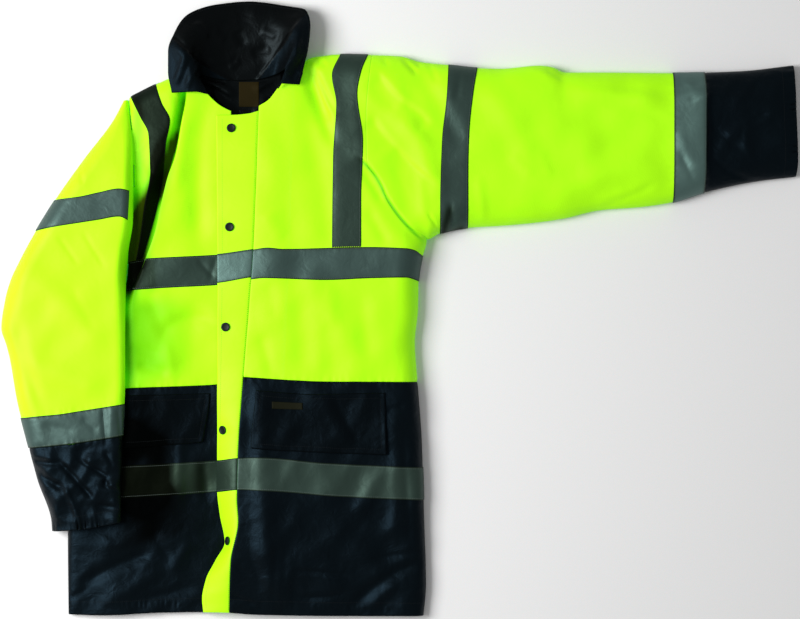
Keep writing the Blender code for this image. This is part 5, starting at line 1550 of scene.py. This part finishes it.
for name, surface, lines, on in (("left_pocket", left_skirt, (1, 4), "pocket_flap_left"),
                                 ("right_pocket", right_skirt, (1, 2), "pocket_flap_right")):
    wide = shares(surface, *lines, 2.5, [0])[1]
    long = shares(surface, 1, 4, 2.5, [0], swap=True)[1]
    a, b = BORDER / wide, BORDER / long
    corners = ((a, b), (a, 1 - b), (1 - a, 1 - b), (1 - a, b), (a, b))
    border = []
    for (a0, b0), (a1, b1) in zip(corners, corners[1:]):
        across, down = np.linspace(a0, a1, 15), np.linspace(b0, b1, 15)
        lift = flap_lift(across * wide, (1 - across) * wide, down * long, (1 - down) * long)
        us = shares(surface, *lines, 2.5, across)[0]
        vs = shares(surface, 1, 4, sum(lines) / 2, down, swap=True)[0]
        border.append(stitch_row(surface, us, vs, POCKET_OUT + lift))
    stitches(name, border, on, navy_thread)
stitches("left_brace_end",
         [stitch_row(left_top, [1.03, 1.5, 1.97], [v] * 3, TAPE_TOP) for v in (1.955, 1.985)],
         "front_left_brace_tape", yellow_thread)
for name, surface, us, vs, on in (
        ("collar_edge", collar_face, np.linspace(0.2, 11.8, 40), 1.86, "collar"),
        ("right_sleeve_end", folded_sleeve, 5.84, ROUND, "sleeve_right_navy"),
        ("left_hem", left_skirt, [0.03, 1, 2, 3, 4, 4.97], 6.885, "front_left_navy"),
        ("right_hem", right_skirt, [0.03, 0.5, 1, 2, 2.97], 6.885, "front_right_navy")):
    stitches(name, [stitch_row(surface, *np.broadcast_arrays(us, vs), PANEL_TOP)], on, navy_thread)

# %% [markdown]
# ## Table, light and camera
#
# The jacket lies on a pale table and is seen from straight above.  One large soft
# light at the left models the creases, and a white surround fills the shadows.

# %% Table top
bm = bmesh.new()
bmesh.ops.create_grid(bm, x_segments=1, y_segments=1, size=4.0,
                      matrix=Matrix.Translation((0, 0, -0.3 * MM)))
table_mesh = bpy.data.meshes.new("table_top")
bm.to_mesh(table_mesh)
bm.free()
table_top = bpy.data.objects.new("table_top", table_mesh)
bpy.context.scene.collection.objects.link(table_top)
table_mesh.materials.append(plain_material("matt_white_laminate", "#fdfdfd", 0.8))
print("on the stage:", table_top.name)

# %% Light and camera
SURROUND, WINDOW_SIZE, WINDOW_WATTS, CAMERA_HEIGHT = 0.35, 1.5, 100, 4.83
world = bpy.data.worlds.new("soft_white_surround")
bpy.context.scene.world = world
world.use_nodes = True
surround = world.node_tree.nodes["Background"]
surround.inputs["Color"].default_value = (1, 1, 1, 1)
surround.inputs["Strength"].default_value = SURROUND

lamp = bpy.data.lights.new("soft_window", "AREA")
lamp.size, lamp.energy = WINDOW_SIZE, WINDOW_WATTS
window = bpy.data.objects.new("soft_window", lamp)
window.location = (-2.2, 0.2, 2.0)
window.rotation_euler = window.location.to_track_quat("Z", "Y").to_euler()
bpy.context.scene.collection.objects.link(window)

lens = bpy.data.cameras.new("from_above")
lens.lens, lens.sensor_width = 135, 36
camera = bpy.data.objects.new("from_above", lens)
camera.location = (-CENTRE[0] * MM, -CENTRE[1] * MM, CAMERA_HEIGHT)
bpy.context.scene.collection.objects.link(camera)
bpy.context.scene.camera = camera
bpy.context.scene.view_settings.view_transform = "Standard"
print("camera", CAMERA_HEIGHT, "m up, lens", lens.lens, "mm")

# %% [markdown]
# ## Cloth sheets and their cut sizes
#
# Each sheet keeps the size that its flat pattern piece has, measured along the cloth
# between its cut lines, which `cloth` prints.  The loop below works out how much of
# the rectangle round each sheet it fills and which pieces lie under it.

# %% Every sheet: its share of the rectangle round it, and the pieces under it
LIES_ON = {     # each lower piece, with the pieces that lie on it
    "back_yellow": ("back_chest_tape", "back_brace_tape_right", "back_brace_tape_left",
                    "front_left_yellow", "front_right_yellow", "neck_lining"),
    "back_navy": ("back_hem_tape", "front_left_navy", "front_right_navy"),
    "front_left_yellow": ("front_left_brace_tape", "front_left_chest_tape", "collar"),
    "front_left_navy": ("front_left_hem_tape", "pocket_flap_left"),
    "front_right_yellow": ("front_right_brace_tape", "front_right_chest_tape", "storm_flap",
                           "sleeve_right_yellow", "collar"),
    "front_right_navy": ("front_right_hem_tape", "pocket_flap_right", "storm_flap", "sleeve_right_navy"),
    "pocket_flap_left": ("pocket_label",),
    "storm_flap": ("flap_chest_tape", "flap_hem_tape"),
    "sleeve_left_yellow": ("sleeve_left_arm_tape", "sleeve_left_cuff_tape"),
    "sleeve_right_yellow": ("sleeve_right_arm_tape", "sleeve_right_cuff_tape"),
    "neck_lining": ("neck_label", "size_tab"),
}
SLOTS = (("tape", "silver_tape"), ("yellow", "yellow_cloth"), ("storm_flap", "yellow_cloth"),
         ("neck_label", "label_brown"), ("label", "black_lining"), ("lining", "black_lining"),
         ("size_tab", "black_lining"), ("", "navy_cloth"))
stitch_pieces.setdefault("storm_flap", []).extend(stud_caps)
for node, (made, cut) in cloth_pieces.items():
    next(slot for word, slot in SLOTS if word in node)
    share = min(1, round(cut[2] / (cut[0] * cut[1]), 2))        # of the rectangle round the piece
    under = [f"{lower}_cloth" for lower, upper in LIES_ON.items() if node in upper]
    if node.startswith(("back", "sleeve")):
        under.append("table_top")
print("sheets:", len(cloth_pieces))
